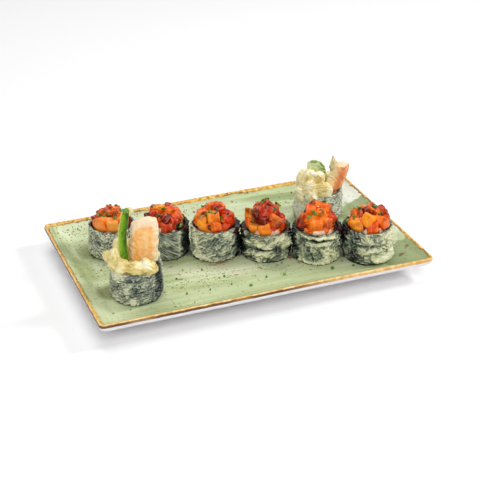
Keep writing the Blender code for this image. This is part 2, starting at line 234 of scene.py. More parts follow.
def grainOf(look, scale, detail=3.0, roughness=0.55, distortion=0.0, stretch=(1, 1, 1)):
    return noiseOf(look, stretchedPlace(look, stretch), scale, detail, roughness, distortion)


def rampOf(look, factor, stops):
    node = addNode(look, "ShaderNodeValToRGB")
    while len(node.color_ramp.elements) < len(stops):
        node.color_ramp.elements.new(0.5)
    for element, (place, colour) in zip(node.color_ramp.elements, stops):
        element.position = place
        element.color = colour
    wire(look, factor, node.inputs["Fac"])
    return node.outputs["Color"]


def rangeOf(look, value, low, high, newLow=0.0, newHigh=1.0):
    node = addNode(look, "ShaderNodeMapRange", interpolation_type="SMOOTHSTEP")
    for socket, number in zip(node.inputs[1:5], (low, high, newLow, newHigh)):
        socket.default_value = number
    wire(look, value, node.inputs[0])
    return node.outputs[0]


def maths(look, operation, first, second=None):
    node = addNode(look, "ShaderNodeMath", operation=operation)
    for socket, value in zip(node.inputs, (first, second)):
        if isinstance(value, (int, float)):
            socket.default_value = value
        elif value is not None:
            wire(look, value, socket)
    return node.outputs[0]


def plus(look, first, *others):
    for other in others:
        first = maths(look, "ADD", first, other)
    return first


def times(look, first, *others):
    for other in others:
        first = maths(look, "MULTIPLY", first, other)
    return first


def swing(look, value, width):
    # moves a 0 to 1 value to either side of 0
    return times(look, maths(look, "SUBTRACT", value, 0.5), width)


def mixOf(look, factor, first, second, blend="MIX"):
    node = addNode(look, "ShaderNodeMix", data_type="RGBA", blend_type=blend)
    for socket, value in zip((node.inputs[0], node.inputs[6], node.inputs[7]), (factor, first, second)):
        if isinstance(value, (int, float, tuple)):
            socket.default_value = value
        else:
            wire(look, value, socket)
    return node.outputs[2]


def bumpOf(look, height, strength, distance):
    node = addNode(look, "ShaderNodeBump", Strength=strength, Distance=distance)
    wire(look, height, node.inputs["Height"])
    feed(look, node.outputs["Normal"], "Normal")


# The plate: a well, a sloping wall, a lip and a foot ring. The loops are (in from the rim's edge, height).
plate = {
    "length": 0.270,
    "width": 0.168,
    "height": 0.0190,
    "wellFloor": 0.0100,
    "wallFoot": 0.0200,
    "wallCurve": 1.35,
    "lip": 0.0014,
    "wellCorner": 0.0034,
    "rimCorner": 0.0042,
    "cutsLong": 45,
    "cutsShort": 27,
    "wallShares": (1.0, 0.92, 0.8, 0.68, 0.55, 0.42, 0.3, 0.2, 0.12, 0.05),
    "lipLoops": ((0.0014, 0.0190), (0.0007, 0.01885), (0.0003, 0.0184), (0.0, 0.0172), (0.0003, 0.0144)),
    "underLoops": ((0.0024, 0.0122), (0.0060, 0.0100), (0.0100, 0.0080), (0.0190, 0.0048), (0.0270, 0.0034)),
    "footLoops": ((0.0285, 0.0004), (0.0292, 0.0), (0.0322, 0.0), (0.0330, 0.0004), (0.0345, 0.0034)),
    "wellRing": 0.0015,
    "footRing": 0.002,
    "unevenness": 0.00035,
    "ripple": 0.0002,
}


def plateLoops():
    loops = []
    for share in plate["wallShares"]:
        rise = (1 - share) ** plate["wallCurve"] * (plate["height"] - plate["wellFloor"])
        inset = plate["lip"] + (plate["wallFoot"] - plate["lip"]) * share
        loops.append((inset, plate["wellFloor"] + rise))
    return loops + list(plate["lipLoops"] + plate["underLoops"] + plate["footLoops"])


def runFromLip(spot):
    # how far in from the rim's edge a point is, and its run in mm: in from the lip over the glaze,
    # or less than 0 outside and under the lip
    off = (plate["length"] / 2 - abs(spot.x), plate["width"] / 2 - abs(spot.y))
    inset, corner = min(off), plate["rimCorner"]
    if max(off) < corner:
        inset = corner - math.hypot(corner - off[0], corner - off[1])
    onTop = spot.z > plate["wellFloor"] - 0.0004 and (inset > 0.0009 or spot.z > 0.0187)
    wallLine = plate["height"] - (inset - plate["lip"]) * 0.9 - 0.004
    if inset < 0.015 and spot.z < wallLine:
        onTop = False
    if onTop:
        return inset, (inset - plate["lip"]) * 1000
    return inset, (spot.z - plate["height"]) * 1000 - 0.2


def modelPlate():
    loops = plateLoops()
    inset, height = loops[0]
    size = (plate["length"] - 2 * inset, plate["width"] - 2 * inset)
    deselect()
    bpy.ops.mesh.primitive_plane_add(size=1, location=(0, 0, height))
    piece = settle("glazedPlate")
    openMesh(piece, "VERT")
    bpy.ops.mesh.select_all(action="SELECT")
    bpy.ops.transform.resize(value=(size[0], size[1], 1), center_override=(0, 0, height))
    bpy.ops.mesh.bevel(offset=plate["wellCorner"], segments=7, affect="VERTICES")
    bpy.ops.mesh.select_mode(type="EDGE")
    for axis, cuts in ((0, plate["cutsLong"]), (1, plate["cutsShort"])):
        most = size[axis] * 0.7
        pick(piece, "EDGE", lambda edge: abs(edge.verts[0].co[axis] - edge.verts[1].co[axis]) > most)
        bpy.ops.mesh.subdivide(number_cuts=cuts)
    # two small loops inside the well keep its middle flat under smooth shading
    bpy.ops.mesh.select_mode(type="FACE")
    bpy.ops.mesh.select_all(action="SELECT")
    for _ in range(2):
        bpy.ops.mesh.inset(thickness=plate["wellRing"])
    bpy.ops.mesh.select_mode(type="EDGE")
    pick(piece, "EDGE", lambda edge: edge.is_boundary)
    for before, after in zip(loops, loops[1:]):
        grow = [(plate[side] - 2 * after[0]) / (plate[side] - 2 * before[0]) for side in ("length", "width")]
        bpy.ops.mesh.extrude_region_move(TRANSFORM_OT_translate={"value": (0, 0, after[1] - before[1])})
        bpy.ops.transform.resize(value=(*grow, 1), center_override=(0, 0, after[1]))
    bpy.ops.mesh.edge_face_add()
    bpy.ops.mesh.select_mode(type="FACE")
    bpy.ops.mesh.inset(thickness=plate["footRing"])
    closeMesh(outwards=True)
    applyModifier(piece, "SUBSURF", levels=1, render_levels=1)
    runs = []
    for vert in piece.data.vertices:
        spot = vert.co
        inset, run = runFromLip(spot)
        runs.append(run)
        far = easeBetween(0.03, 0.0, inset)
        sway = noise.noise(Vector((spot.x * 16, spot.y * 16, 3.1)))
        vert.co.z += plate["unevenness"] * sway * far * easeBetween(0.001, 0.006, spot.z)
        ripple = noise.noise(Vector((spot.x * 60, spot.y * 60, 7.7)))
        vert.co.x -= math.copysign(plate["ripple"], spot.x) * abs(ripple) * far
        vert.co.y -= math.copysign(plate["ripple"], spot.y) * abs(ripple) * far
    keepShade(piece, "rimRun", runs)
    return piece


# Pools of colour in the glaze and stains of sauce on it are (x, y, half size along x and y, in mm, turn,
# edge softness, colour). Some pools are painted shadow and one is painted light, and some stains are painted
# contact shade, as marked below. Specks have (cells in a metre, size in a cell, tones), and clusters of them
# are (x, y, half size along x and y, how many).
glaze = {
    "poolsAndPaintedLight": (
        # these two darker pools are painted shadow, cast to the left of end_1 and of roll_1
        (-113, -26, 8, 11, -20, 0.9, (120, 128, 76)),
        (-109, 41, 8, 12, -20, 0.9, (140, 150, 100)),
        (-122, 8, 8, 22, 0, 0.9, (160, 172, 118)),
        (124, -64, 22, 22, 0, 0.16, (142, 156, 104)),
        (126, 16, 22, 24, 0, 0.22, (150, 164, 116)),
        (123, -16, 19, 16, 10, 0.25, (240, 244, 216)),
        # a paler pool that paints light onto the front-left corner of the wall, where it falls in shade
        (-117, -58, 18, 19, 0, 0.9, (216, 224, 182)),
        (44, -45, 18, 7, -6, 0.9, (218, 220, 182)),
        (123, 66, 26, 28, -6, 0.10, (250, 249, 238)),
        (62, 71, 30, 4, -4, 0.6, (152, 168, 112)),
        (-40, -76, 60, 4, 2, 0.7, (156, 172, 116)),
        (40, -74, 50, 3, 1, 0.8, (170, 184, 130)),
        (0, -52, 64, 9, 2, 0.9, (188, 200, 154)),
        (-30, -22, 46, 9, -20, 0.9, (222, 226, 190)),
        (70, 20, 26, 30, 0, 0.9, (216, 222, 188)),
        (-20, 62, 50, 14, -3, 0.9, (216, 222, 188)),
        (0, 70, 46, 6, 0, 0.8, (206, 216, 176)),
        # a darker pool that is painted shadow, cast to the left of end_2
        (72, 30, 12, 9, 0, 0.9, (140, 150, 104)),
        (20, -62, 34, 3, 3, 0.8, (186, 196, 148)),
    ),
    "clusters": (
        (-28, -34, 38, 16, 0.95),
        (-112, 10, 14, 60, 0.8),
        (-108, 70, 26, 12, 1.0),
        (-30, 72, 60, 9, 0.7),
        (30, -34, 22, 14, 0.8),
        (118, -50, 14, 12, 0.9),
        (85, 52, 20, 20, 0.7),
        (-60, -66, 30, 8, 0.5),
    ),
    "specks": (
        (560, 0.34, ((0.0, (74, 84, 40)), (0.5, (120, 98, 50)), (0.85, (60, 62, 34)))),
        (230, 0.22, ((0.0, (150, 104, 44)), (0.6, (92, 76, 38)), (0.9, (176, 124, 54)))),
        (110, 0.15, ((0.0, (160, 118, 56)), (0.5, (128, 116, 66)), (0.85, (112, 82, 40)))),
    ),
    "stainsAndContactShade": (
        # the first four are painted contact shade under the gaps between the rolls; the one between roll_4
        # and roll_5 is dark red sauce as well
        (-32.5, 13.6, 3.2, 9.0, -23, 0.8, (34, 30, 22)),
        (4.2, -2.6, 3.6, 9.0, -23, 0.8, (30, 24, 16)),
        (41.2, -20.0, 3.2, 9.5, -23, 0.8, (40, 16, 10)),
        (78.0, -35.6, 3.0, 9.0, -23, 0.8, (34, 26, 16)),
        (-19.0, -15.4, 8.0, 1.5, 3, 0.6, (190, 112, 62)),
        (37.6, -25.4, 4.6, 3.0, -20, 0.5, (104, 10, 8)),
        (35.0, -27.0, 5.0, 1.6, 15, 0.8, (176, 132, 84)),
        (119.5, -57.5, 2.6, 1.4, 25, 0.6, (88, 62, 28)),
        (127.0, -53.0, 1.8, 1.2, 20, 0.6, (110, 76, 36)),
        (-12.7, -36.9, 1.9, 1.2, 0, 0.8, (146, 96, 46)),
        (-58.3, -39.5, 2.0, 1.1, 30, 0.8, (140, 104, 56)),
        (-55.7, -6.6, 2.2, 1.0, 5, 0.8, (170, 128, 78)),
        (8.2, -33.1, 1.6, 1.0, 0, 0.8, (140, 104, 56)),
        (-21.6, -31.4, 1.3, 0.9, 0, 0.8, (130, 112, 60)),
    ),
}


def spotMask(look, middle, halves, turn, soft, warp):
    # 1 inside an ellipse with an uneven edge, 0 outside
    coords = addNode(look, "ShaderNodeTexCoord")
    mapping = addNode(look, "ShaderNodeMapping", vector_type="TEXTURE")
    mapping.inputs["Location"].default_value = (middle[0] / 1000, middle[1] / 1000, 0)
    mapping.inputs["Rotation"].default_value = (0, 0, math.radians(turn))
    mapping.inputs["Scale"].default_value = (halves[0] / 1000, halves[1] / 1000, 1)
    wire(look, coords.outputs["Object"], mapping.inputs["Vector"])
    flat = addNode(look, "ShaderNodeVectorMath", operation="MULTIPLY")
    flat.inputs[1].default_value = (1, 1, 0)
    wire(look, mapping.outputs["Vector"], flat.inputs[0])
    length = addNode(look, "ShaderNodeVectorMath", operation="LENGTH")
    wire(look, flat.outputs["Vector"], length.inputs[0])
    return rangeOf(look, plus(look, length.outputs["Value"], warp), 1.0 + soft * 0.5, 1.0 - soft * 0.5)


def poolAndLightTones(look, stroke):
    # brushed green, with its pools, among them painted shadow and painted light
    tone = plus(look, times(look, stroke, 0.62), times(look, grainOf(look, 22, 4, 0.6), 0.38))
    green = rampOf(look, tone, (
        (0.34, paint(158, 171, 118)),
        (0.45, paint(188, 200, 150)),
        (0.54, paint(202, 212, 168)),
        (0.66, paint(224, 230, 196)),
    ))
    streak = rampOf(look, stroke, ((0.36, (0.86, 0.86, 0.84, 1)), (0.62, (1.04, 1.04, 1.04, 1))))
    warp = swing(look, grainOf(look, 60, 4, 0.6), 1.1)
    for x, y, halfX, halfY, turn, soft, colour in glaze["poolsAndPaintedLight"]:
        inside = spotMask(look, (x, y), (halfX, halfY), turn, soft, warp)
        poolAndLight = mixOf(look, 1.0, paint(*colour), streak, "MULTIPLY")
        green = mixOf(look, times(look, inside, 0.85), green, poolAndLight)
    return green, warp


def speckStainAndShadeTones(look, under, warp):
    # iron specks in clusters, the stains of sauce, and painted contact shade under the gaps between rolls
    many = 0.12
    for x, y, halfX, halfY, strength in glaze["clusters"]:
        inside = spotMask(look, (x, y), (halfX, halfY), 0, 1.4, warp)
        many = maths(look, "MAXIMUM", times(look, inside, strength), many)
    coords = addNode(look, "ShaderNodeTexCoord")
    for scale, size, stops in glaze["specks"]:
        cells = addNode(look, "ShaderNodeTexVoronoi", voronoi_dimensions="2D", Scale=scale, Randomness=1.0)
        wire(look, coords.outputs["Object"], cells.inputs["Vector"])
        chance = addNode(look, "ShaderNodeSeparateColor")
        wire(look, cells.outputs["Color"], chance.inputs[0])
        here = maths(look, "LESS_THAN", chance.outputs[0], times(look, many, 0.28))
        dot = rangeOf(look, cells.outputs["Distance"], size, size * 0.55)
        speck = rampOf(look, chance.outputs[1], [(place, paint(*colour)) for place, colour in stops])
        under = mixOf(look, times(look, here, dot, 0.85), under, speck)
    stainAndShadeWarp = swing(look, grainOf(look, 420, 4, 0.6), 2.2)
    for x, y, halfX, halfY, turn, soft, colour in glaze["stainsAndContactShade"]:
        inside = spotMask(look, (x, y), (halfX, halfY), turn, soft, stainAndShadeWarp)
        under = mixOf(look, times(look, inside, 0.7), under, paint(*colour))
    return under


def rimTones(look, under, split, ragged):
    # a honey brown band on the lip, brown where the glaze breaks, and white below
    rim = readShade(look, "rimRun")
    wander = grainOf(look, 26, 2, 0.5)
    atBack = rangeOf(look, split.outputs["Y"], 0.074, 0.080, 0.0, -1.1)
    bandRun = plus(look, rim, swing(look, ragged, 4.0), swing(look, wander, 4.2), atBack)
    honey = rampOf(look, grainOf(look, 330, 4, 0.65), (
        (0.34, paint(148, 98, 30)),
        (0.45, paint(212, 158, 60)),
        (0.56, paint(238, 192, 98)),
        (0.70, paint(248, 222, 160)),
    ))
    banded = mixOf(look, rangeOf(look, bandRun, 2.0, 1.1), under, honey)
    breakLine = times(look, rangeOf(look, bandRun, 0.5, 1.1), rangeOf(look, bandRun, 2.2, 1.4))
    breakShare = times(look, breakLine, rangeOf(look, wander, 0.40, 0.56, 0.15, 0.85))
    banded = mixOf(look, breakShare, banded, paint(112, 72, 24))
    lipRun = plus(look, rim, swing(look, ragged, 1.0))
    # the lip's amber goes at random to a pale tone that is painted highlight
    amber = mixOf(look, rangeOf(look, ragged, 0.38, 0.62), paint(228, 172, 84), paint(250, 216, 152))
    amberLip = mixOf(look, rangeOf(look, lipRun, 0.1, -0.5), banded, amber)
    # the brown under the lip is strongest along the left of the front
    onLeft = rangeOf(look, split.outputs["X"], 0.07, 0.0, 0.2, 0.95)
    brownHere = times(look, onLeft, rangeOf(look, wander, 0.34, 0.46, 0.75, 1.0))
    brownSide = times(look, rangeOf(look, lipRun, -0.7, -1.2), brownHere)
    lower = mixOf(look, brownSide, amberLip, paint(84, 46, 24))
    white = mixOf(look, ragged, paint(214, 210, 212), paint(240, 238, 238))
    return mixOf(look, rangeOf(look, lipRun, -2.7, -3.3), lower, white)


def lookGlaze():
    look = newLook("sageGlaze", Roughness=0.4, Coat_Weight=0.12, Coat_Roughness=0.25, Specular_IOR_Level=0.35)
    coords = addNode(look, "ShaderNodeTexCoord")
    split = addNode(look, "ShaderNodeSeparateXYZ")
    wire(look, coords.outputs["Object"], split.inputs[0])
    onEnds = rangeOf(look, maths(look, "ABSOLUTE", split.outputs["X"]), 0.106, 0.121)
    along = grainOf(look, 1.0, 5, 0.6, 0.7, (9, 130, 60))
    across = grainOf(look, 1.0, 5, 0.6, 0.7, (150, 10, 60))
    stroke = mixOf(look, onEnds, along, across)
    ragged = grainOf(look, 170, 4, 0.65)
    green, warp = poolAndLightTones(look, stroke)
    feed(look, rimTones(look, speckStainAndShadeTones(look, green, warp), split, ragged), "Base Color")
    feed(look, rangeOf(look, ragged, 0.3, 0.7, 0.30, 0.48), "Roughness")
    bumpOf(look, plus(look, stroke, times(look, ragged, 0.3)), 0.25, 0.0004)
    return look


glazedPlate = modelPlate()
seat(glazedPlate, lookGlaze(), ["plate"])
print("plate modelled")


# The row of topped pieces. A fold is (degrees round, share of the height, half width in degrees, half
# height, lift in mm). A patch is the same with how much more batter lies there in place of the lift, and
# a drip of sauce has neither. Patches below 0 that lie in a fold's crease paint shade there, and those on the
# sides that face a neighbour show bare seaweed and paint the shade of the gap between rolls. Rice shows at
# the rim in the pale part, (degrees round, half width). Dice are (along the row in mm, climb over the heap,
# size in mm, colour), and chives the first two. The grain of the wrinkles is (cell in mm, twist, stretch,
# warp, relief in mm, batter cover, flecks, frost).
row = {"start": (-0.0902, 0.0351), "end": (0.0957, -0.0450)}
row["turn"] = math.atan2(row["end"][1] - row["start"][1], row["end"][0] - row["start"][0])

toppedRolls = (
    {
        "name": "roll_1", "radius": 0.0182, "height": 0.0250, "crown": 0.0118, "seed": 11,
        "folds": ((-60, 0.62, 14, 0.10, 1.2), (-64, 0.40, 16, 0.08, 1.0), (-135, 0.20, 30, 0.14, 0.8)),
        "patches": ((-60, 0.80, 22, 0.14, 0.35), (-66, 0.55, 12, 0.04, -0.6), (10, 0.5, 30, 0.8, -0.35)),
        "drips": ((-168, 0.97, 16, 0.05), (-10, 0.97, 20, 0.06)),
        "grain": (2.6, 0.3, 1.1, 0.9, 0.5, 0.54, 0.44, 0.7),
        "pale": (-75, 55),
        "dice": (
            (-6.5, 0.20, 11.0, "peach"), (2.0, 0.26, 9.5, "peach"), (-10.0, 0.48, 7.0, "rust"),
            (-4.5, 0.86, 7.5, "orange"), (0.5, 1.05, 7.5, "blush"), (5.0, 0.74, 8.0, "orange"),
            (6.0, 0.45, 8.0, "orange"), (10.5, 0.75, 7.0, "cherry"), (12.0, 0.30, 6.0, "cherry"),
        ),
        "chives": (
            (-4.3, 0.69), (-1.1, 0.69), (-3.3, 0.54), (1.7, 1.2), (6.2, 0.92), (-7.0, 0.71), (2.9, 0.52),
        ),
    },
    {
        "name": "roll_2", "radius": 0.0184, "height": 0.0245, "crown": 0.0138, "seed": 29,
        "nudge": (0.0023, 0.0014),
        "folds": (
            (0, 0.50, 30, 1.4, 1.1), (-52, 0.50, 7, 0.60, 0.9), (-100, 0.15, 40, 0.10, 0.6),
            (140, 0.60, 20, 0.15, 1.0),
        ),
        "patches": ((-50, 0.5, 6, 0.6, 0.40), (2, 0.5, 34, 1.4, -1.2), (-35, 0.5, 8, 0.8, -0.25)),
        "drips": ((-22, 0.97, 16, 0.06), (4, 0.80, 12, 0.16)),
        "grain": (2.0, 1.7, 0.5, 0.5, 0.6, 0.41, 0.08, 0.8),
        "pale": (-85, 40),
        "dice": (
            (-4.0, 1.00, 7.5, "yellow"), (-6.5, 0.66, 7.0, "scarlet"), (3.5, 0.86, 8.0, "orange"),
            (9.0, 0.60, 8.0, "orange"), (7.5, 0.36, 8.0, "scarlet"), (1.5, 0.45, 8.0, "cherry"),
            (2.0, 0.12, 9.5, "minced"), (-12.0, 0.60, 6.0, "cherry"), (-6.5, 0.35, 7.0, "scarlet"),
            (10.0, 0.14, 6.5, "plum"),
        ),
        "chives": ((-7.7, 1.2), (0.7, 0.81), (-2.1, 0.6), (5.8, 0.68), (11.3, 0.49), (10.3, 0.16)),
    },
    {
        "name": "roll_3", "radius": 0.0182, "height": 0.0262, "crown": 0.0142, "seed": 37,
        "folds": (
            (-122, 0.17, 34, 0.12, 1.7), (-70, 0.34, 30, 0.09, 0.9), (-140, 0.70, 16, 0.18, 1.1),
            (-96, 0.45, 26, 0.07, -0.7), (2, 0.50, 30, 1.6, 2.5),
        ),
        "patches": (
            (-125, 0.16, 34, 0.13, 0.42), (-142, 0.66, 20, 0.34, 0.40), (-84, 0.70, 20, 0.18, -0.10),
            (6, 0.5, 28, 1.4, -1.1), (-45, 0.75, 12, 0.15, 0.30), (-60, 0.22, 26, 0.04, -0.35),
            (176, 0.6, 14, 0.9, -0.5),
        ),
        "drips": ((-22, 0.90, 12, 0.12), (2, 0.70, 10, 0.20)),
        "grain": (4.6, -0.9, 1.3, 1.2, 1.2, 0.44, 0.08, 0.5),
        "pale": (-75, 12),
        "dice": (
            (-9.5, 0.40, 8.5, "amber"), (-0.5, 0.55, 8.5, "amber"), (-7.5, 0.08, 8.5, "amber"),
            (1.8, 0.15, 8.5, "orange"), (-8.5, 0.78, 6.5, "blush"), (-1.5, 1.14, 8.0, "orange"),
            (3.8, 0.98, 7.5, "orange"), (3.0, 0.82, 8.0, "scarlet"), (11.5, 0.45, 9.5, "scarlet"),
            (8.5, 0.10, 6.5, "minced"), (9.5, 0.72, 6.5, "rust"),
        ),
        "chives": ((-1.3, 0.68), (-4.3, 0.55), (1.1, 0.65), (5.0, 0.47), (5.8, 0.42)),
    },
    {
        "name": "roll_4", "radius": 0.0184, "height": 0.0240, "crown": 0.0186, "seed": 43,
        "nudge": (0.0010, 0.0002),
        "folds": (
            (-100, 0.50, 26, 0.06, -1.2), (-108, 0.66, 30, 0.09, 1.1), (-104, 0.33, 26, 0.09, 1.3),
            (-44, 0.84, 15, 0.13, 2.2), (-28, 0.62, 9, 0.12, 2.0), (180, 0.50, 28, 1.6, 2.2),
            (0, 0.50, 28, 1.4, 1.0),
        ),
        "patches": (
            (-100, 0.50, 24, 0.035, -0.9), (-108, 0.68, 30, 0.09, 0.35), (-104, 0.32, 26, 0.09, 0.35),
            (-46, 0.84, 16, 0.13, 0.55), (-28, 0.62, 10, 0.12, 0.45), (-60, 0.45, 14, 0.2, -0.25),
            (178, 0.5, 26, 1.4, -1.0), (8, 0.4, 24, 1.2, -0.9),
        ),
        "drips": ((-8, 0.92, 14, 0.12), (-160, 0.97, 12, 0.05)),
        "grain": (4.8, -0.6, 1.3, 1.2, 1.0, 0.40, 0.05, 0.15),
        "pale": (-78, 52),
        "dice": (
            (-12.6, 0.95, 7.5, "amber"), (-0.8, 0.72, 10.5, "scarlet"), (0.2, 1.05, 9.0, "scarlet"),
            (6.0, 0.42, 9.0, "orange"), (-2.5, 0.40, 8.0, "cherry"), (-12.8, 0.35, 7.5, "orange"),
            (-9.5, 0.12, 7.5, "amber"), (-1.0, 0.14, 8.5, "amber"), (12.0, 0.24, 8.0, "rust"),
            (5.5, 0.74, 7.5, "rust"), (-6.0, 0.62, 6.5, "cherry"),
        ),
        "chives": (
            (-0.9, 1.05), (0.9, 1.15), (5.0, 0.73), (-8.9, 0.47), (-10.1, 0.3), (12.8, 0.3), (-1.6, 0.95),
        ),
    },
    {
        "name": "roll_5", "radius": 0.0184, "height": 0.0262, "crown": 0.0175, "seed": 53,
        "nudge": (0.0, -0.0016),
        "folds": (
            (-84, 0.92, 34, 0.05, 1.0), (-86, 0.82, 26, 0.04, -1.1), (-84, 0.70, 28, 0.07, 1.4),
            (-62, 0.30, 10, 0.28, 1.2), (-96, 0.05, 30, 0.07, 0.7), (180, 0.50, 28, 1.4, 1.1),
            (0, 0.50, 28, 1.4, 0.5),
        ),
        "patches": (
            (-84, 0.92, 34, 0.05, 0.50), (-86, 0.815, 26, 0.03, -1.0), (-84, 0.70, 28, 0.06, 0.50),
            (-62, 0.30, 9, 0.30, 0.45), (-92, 0.04, 34, 0.07, 0.35), (-96, 0.34, 22, 0.18, -0.12),
            (180, 0.5, 26, 1.4, -1.0), (6, 0.5, 26, 1.2, -0.9), (-100, 0.985, 20, 0.02, -0.7),
        ),
        "drips": ((-20, 0.95, 18, 0.08), (0, 0.80, 14, 0.16)),
        "grain": (4.4, 0.2, 0.8, 1.2, 1.2, 0.46, 0.08, 0.15),
        "pale": (-85, 45),
        "dice": (
            (-12.5, 0.32, 8.5, "rust"), (-3.2, 1.10, 8.0, "orange"), (-5.8, 0.82, 8.0, "orange"),
            (5.6, 0.88, 6.8, "orange"), (-9.4, 0.54, 7.0, "orange"), (1.3, 0.62, 8.5, "amber"),
            (-2.4, 0.30, 10.0, "amber"), (7.2, 0.35, 8.5, "orange"), (9.0, 0.54, 7.0, "rust"),
            (-6.8, 0.03, 5.5, "orange"),
        ),
        "chives": ((-5.8, 0.52), (-2.8, 0.63), (-1.5, 0.63), (-2.4, 1.2), (-6.2, 0.44)),
    },
    {
        "name": "roll_6", "radius": 0.0191, "height": 0.0274, "crown": 0.0124, "seed": 67,
        "folds": (
            (-84, 0.62, 34, 0.05, -0.9), (-80, 0.74, 34, 0.07, 0.9), (-78, 0.45, 30, 0.07, 1.0),
            (-50, 0.16, 24, 0.11, 2.4), (-24, 0.20, 12, 0.09, 2.2), (-60, 0.86, 14, 0.10, 1.0),
            (180, 0.50, 28, 1.4, 0.5),
        ),
        "patches": (
            (-84, 0.61, 30, 0.03, -0.45), (-76, 0.48, 28, 0.06, 0.20), (-56, 0.20, 34, 0.12, 0.60),
            (-38, 0.84, 16, 0.12, 0.45), (-20, 0.55, 22, 0.4, 0.35), (-128, 0.5, 14, 0.6, -0.45),
            (180, 0.5, 24, 1.2, -0.8), (-105, 0.18, 16, 0.14, -0.25), (-84, 0.0, 60, 0.05, -0.5),
        ),
        "drips": ((-150, 0.97, 16, 0.06),),
        "grain": (4.4, 0.4, 1.6, 1.2, 1.1, 0.47, 0.08, 0.2),
        "pale": (-78, 32),
        "dice": (
            (-9.8, 0.17, 8.5, "amber"), (-13.0, 0.42, 6.5, "blush"), (-0.5, 0.48, 9.5, "amber"),
            (2.5, 0.15, 9.5, "orange"), (7.2, 0.50, 7.5, "orange"), (-2.4, 0.82, 7.5, "cherry"),
            (-7.7, 0.85, 7.0, "orange"), (4.3, 0.86, 8.0, "orange"), (9.6, 1.10, 8.0, "rust"),
            (11.0, 0.28, 7.5, "orange"), (12.6, 0.60, 6.0, "rust"),
        ),
        "chives": ((-5.4, 0.89), (2.2, 0.92), (7.3, 0.76), (-9.4, 0.56), (-13.5, 0.44), (3.2, 0.97)),
    },
)

endRolls = (
    {
        "name": "end_1", "place": (-0.0926, -0.0355), "radius": 0.0190, "height": 0.0258, "seed": 71,
        "folds": (
            (-136, 0.86, 17, 0.15, 2.2), (-106, 0.45, 8, 0.22, 1.3), (-92, 0.10, 9, 0.12, 1.2),
            (-60, 0.60, 8, 0.35, 0.8),
        ),
        "patches": (
            (-138, 0.90, 20, 0.14, 0.6), (-106, 0.45, 6, 0.16, 0.45), (-92, 0.12, 7, 0.12, 0.45),
            (-40, 0.55, 5, 0.5, 0.25), (-20, 0.5, 24, 0.9, -0.5), (-96, 0.80, 26, 0.03, -0.45),
        ),
        "grain": (3.4, -0.4, 2.8, 1.0, 1.2, 0.42, 0.14, 0.7),
    },
    {
        "name": "end_2", "place": (0.0884, 0.0325), "radius": 0.0200, "height": 0.0252, "seed": 83,
        "folds": ((-168, 1.0, 50, 0.50, -2.4), (-60, 0.30, 22, 0.20, 1.0), (20, 0.70, 24, 0.15, 1.0)),
        "patches": ((-150, 0.45, 22, 0.5, 0.30), (-50, 0.6, 20, 0.4, 0.08)),
        "grain": (2.6, 0.2, 0.6, 1.0, 0.6, 0.56, 0.30, 1.0),
    },
)


def rollPlacing(roll):
    if "place" in roll:
        x, y = roll["place"]
    else:
        spot = Vector(row["start"]).lerp(Vector(row["end"]), toppedRolls.index(roll) / (len(toppedRolls) - 1))
        x, y = spot + Vector(roll.get("nudge", (0.0, 0.0)))
    return Matrix.Translation((x, y, plate["wellFloor"])) @ Matrix.Rotation(row["turn"], 4, "Z")


# The wraps: battered seaweed sleeves, wrinkled like wet paper.
wrap = {
    "around": 224, "up": 84, "wall": 0.0017, "clear": 0.0003, "swell": 0.0006,
    "lean": 0.0009, "dents": 0.0006, "batter": 0.0003, "fray": 0.0004,
    "rimRipple": 0.0007, "rimTilt": 0.0006, "footTuck": 0.07, "tuckShare": 0.2, "topTuck": 0.03,
    "grainRadius": 18, "grainHeight": 25,  # in mm, as the grain's cells are
    "rimLoops": ((0.28, 0.0), (0.55, 0.0), (0.85, -0.0003), (1.0, -0.0009)),  # (share across the wall, drop)
}


def barrel(share):
    low = wrap["tuckShare"]
    return 1.0 - wrap["footTuck"] * max(0.0, low - share) / low - wrap["topTuck"] * share ** 2


def nearness(turn, share, middle, level, halfTurn, halfHeight):
    # 1 at a place on a wrap, falling off round it
    away = turnAway(turn, middle)
    return math.exp(-((away / halfTurn) ** 2) - ((share - level) / halfHeight) ** 2)


def sideRadius(roll, turn, share):
    spot = Vector((math.cos(turn), math.sin(turn), share * 1.4))
    radius = roll["radius"] * barrel(share) + wrap["swell"]
    radius += wrap["lean"] * noise.noise(spot * 1.3 + Vector((roll["seed"], 0, 0)))
    radius += wrap["dents"] * noise.noise(spot * 3.1 + Vector((0, roll["seed"], 0)))
    for *where, lift in roll["folds"]:
        radius += lift / 1000 * nearness(turn, share, *where)
    return radius


def rimHeight(roll, turn):
    ripple = wrap["rimRipple"] * noise.noise(Vector((2 * math.cos(turn), 2 * math.sin(turn), roll["seed"])))
    return roll["height"] + ripple + wrap["rimTilt"] * (1 + math.sin(turn))


def bore(roll):
    return roll["radius"] * barrel(0) - wrap["wall"]


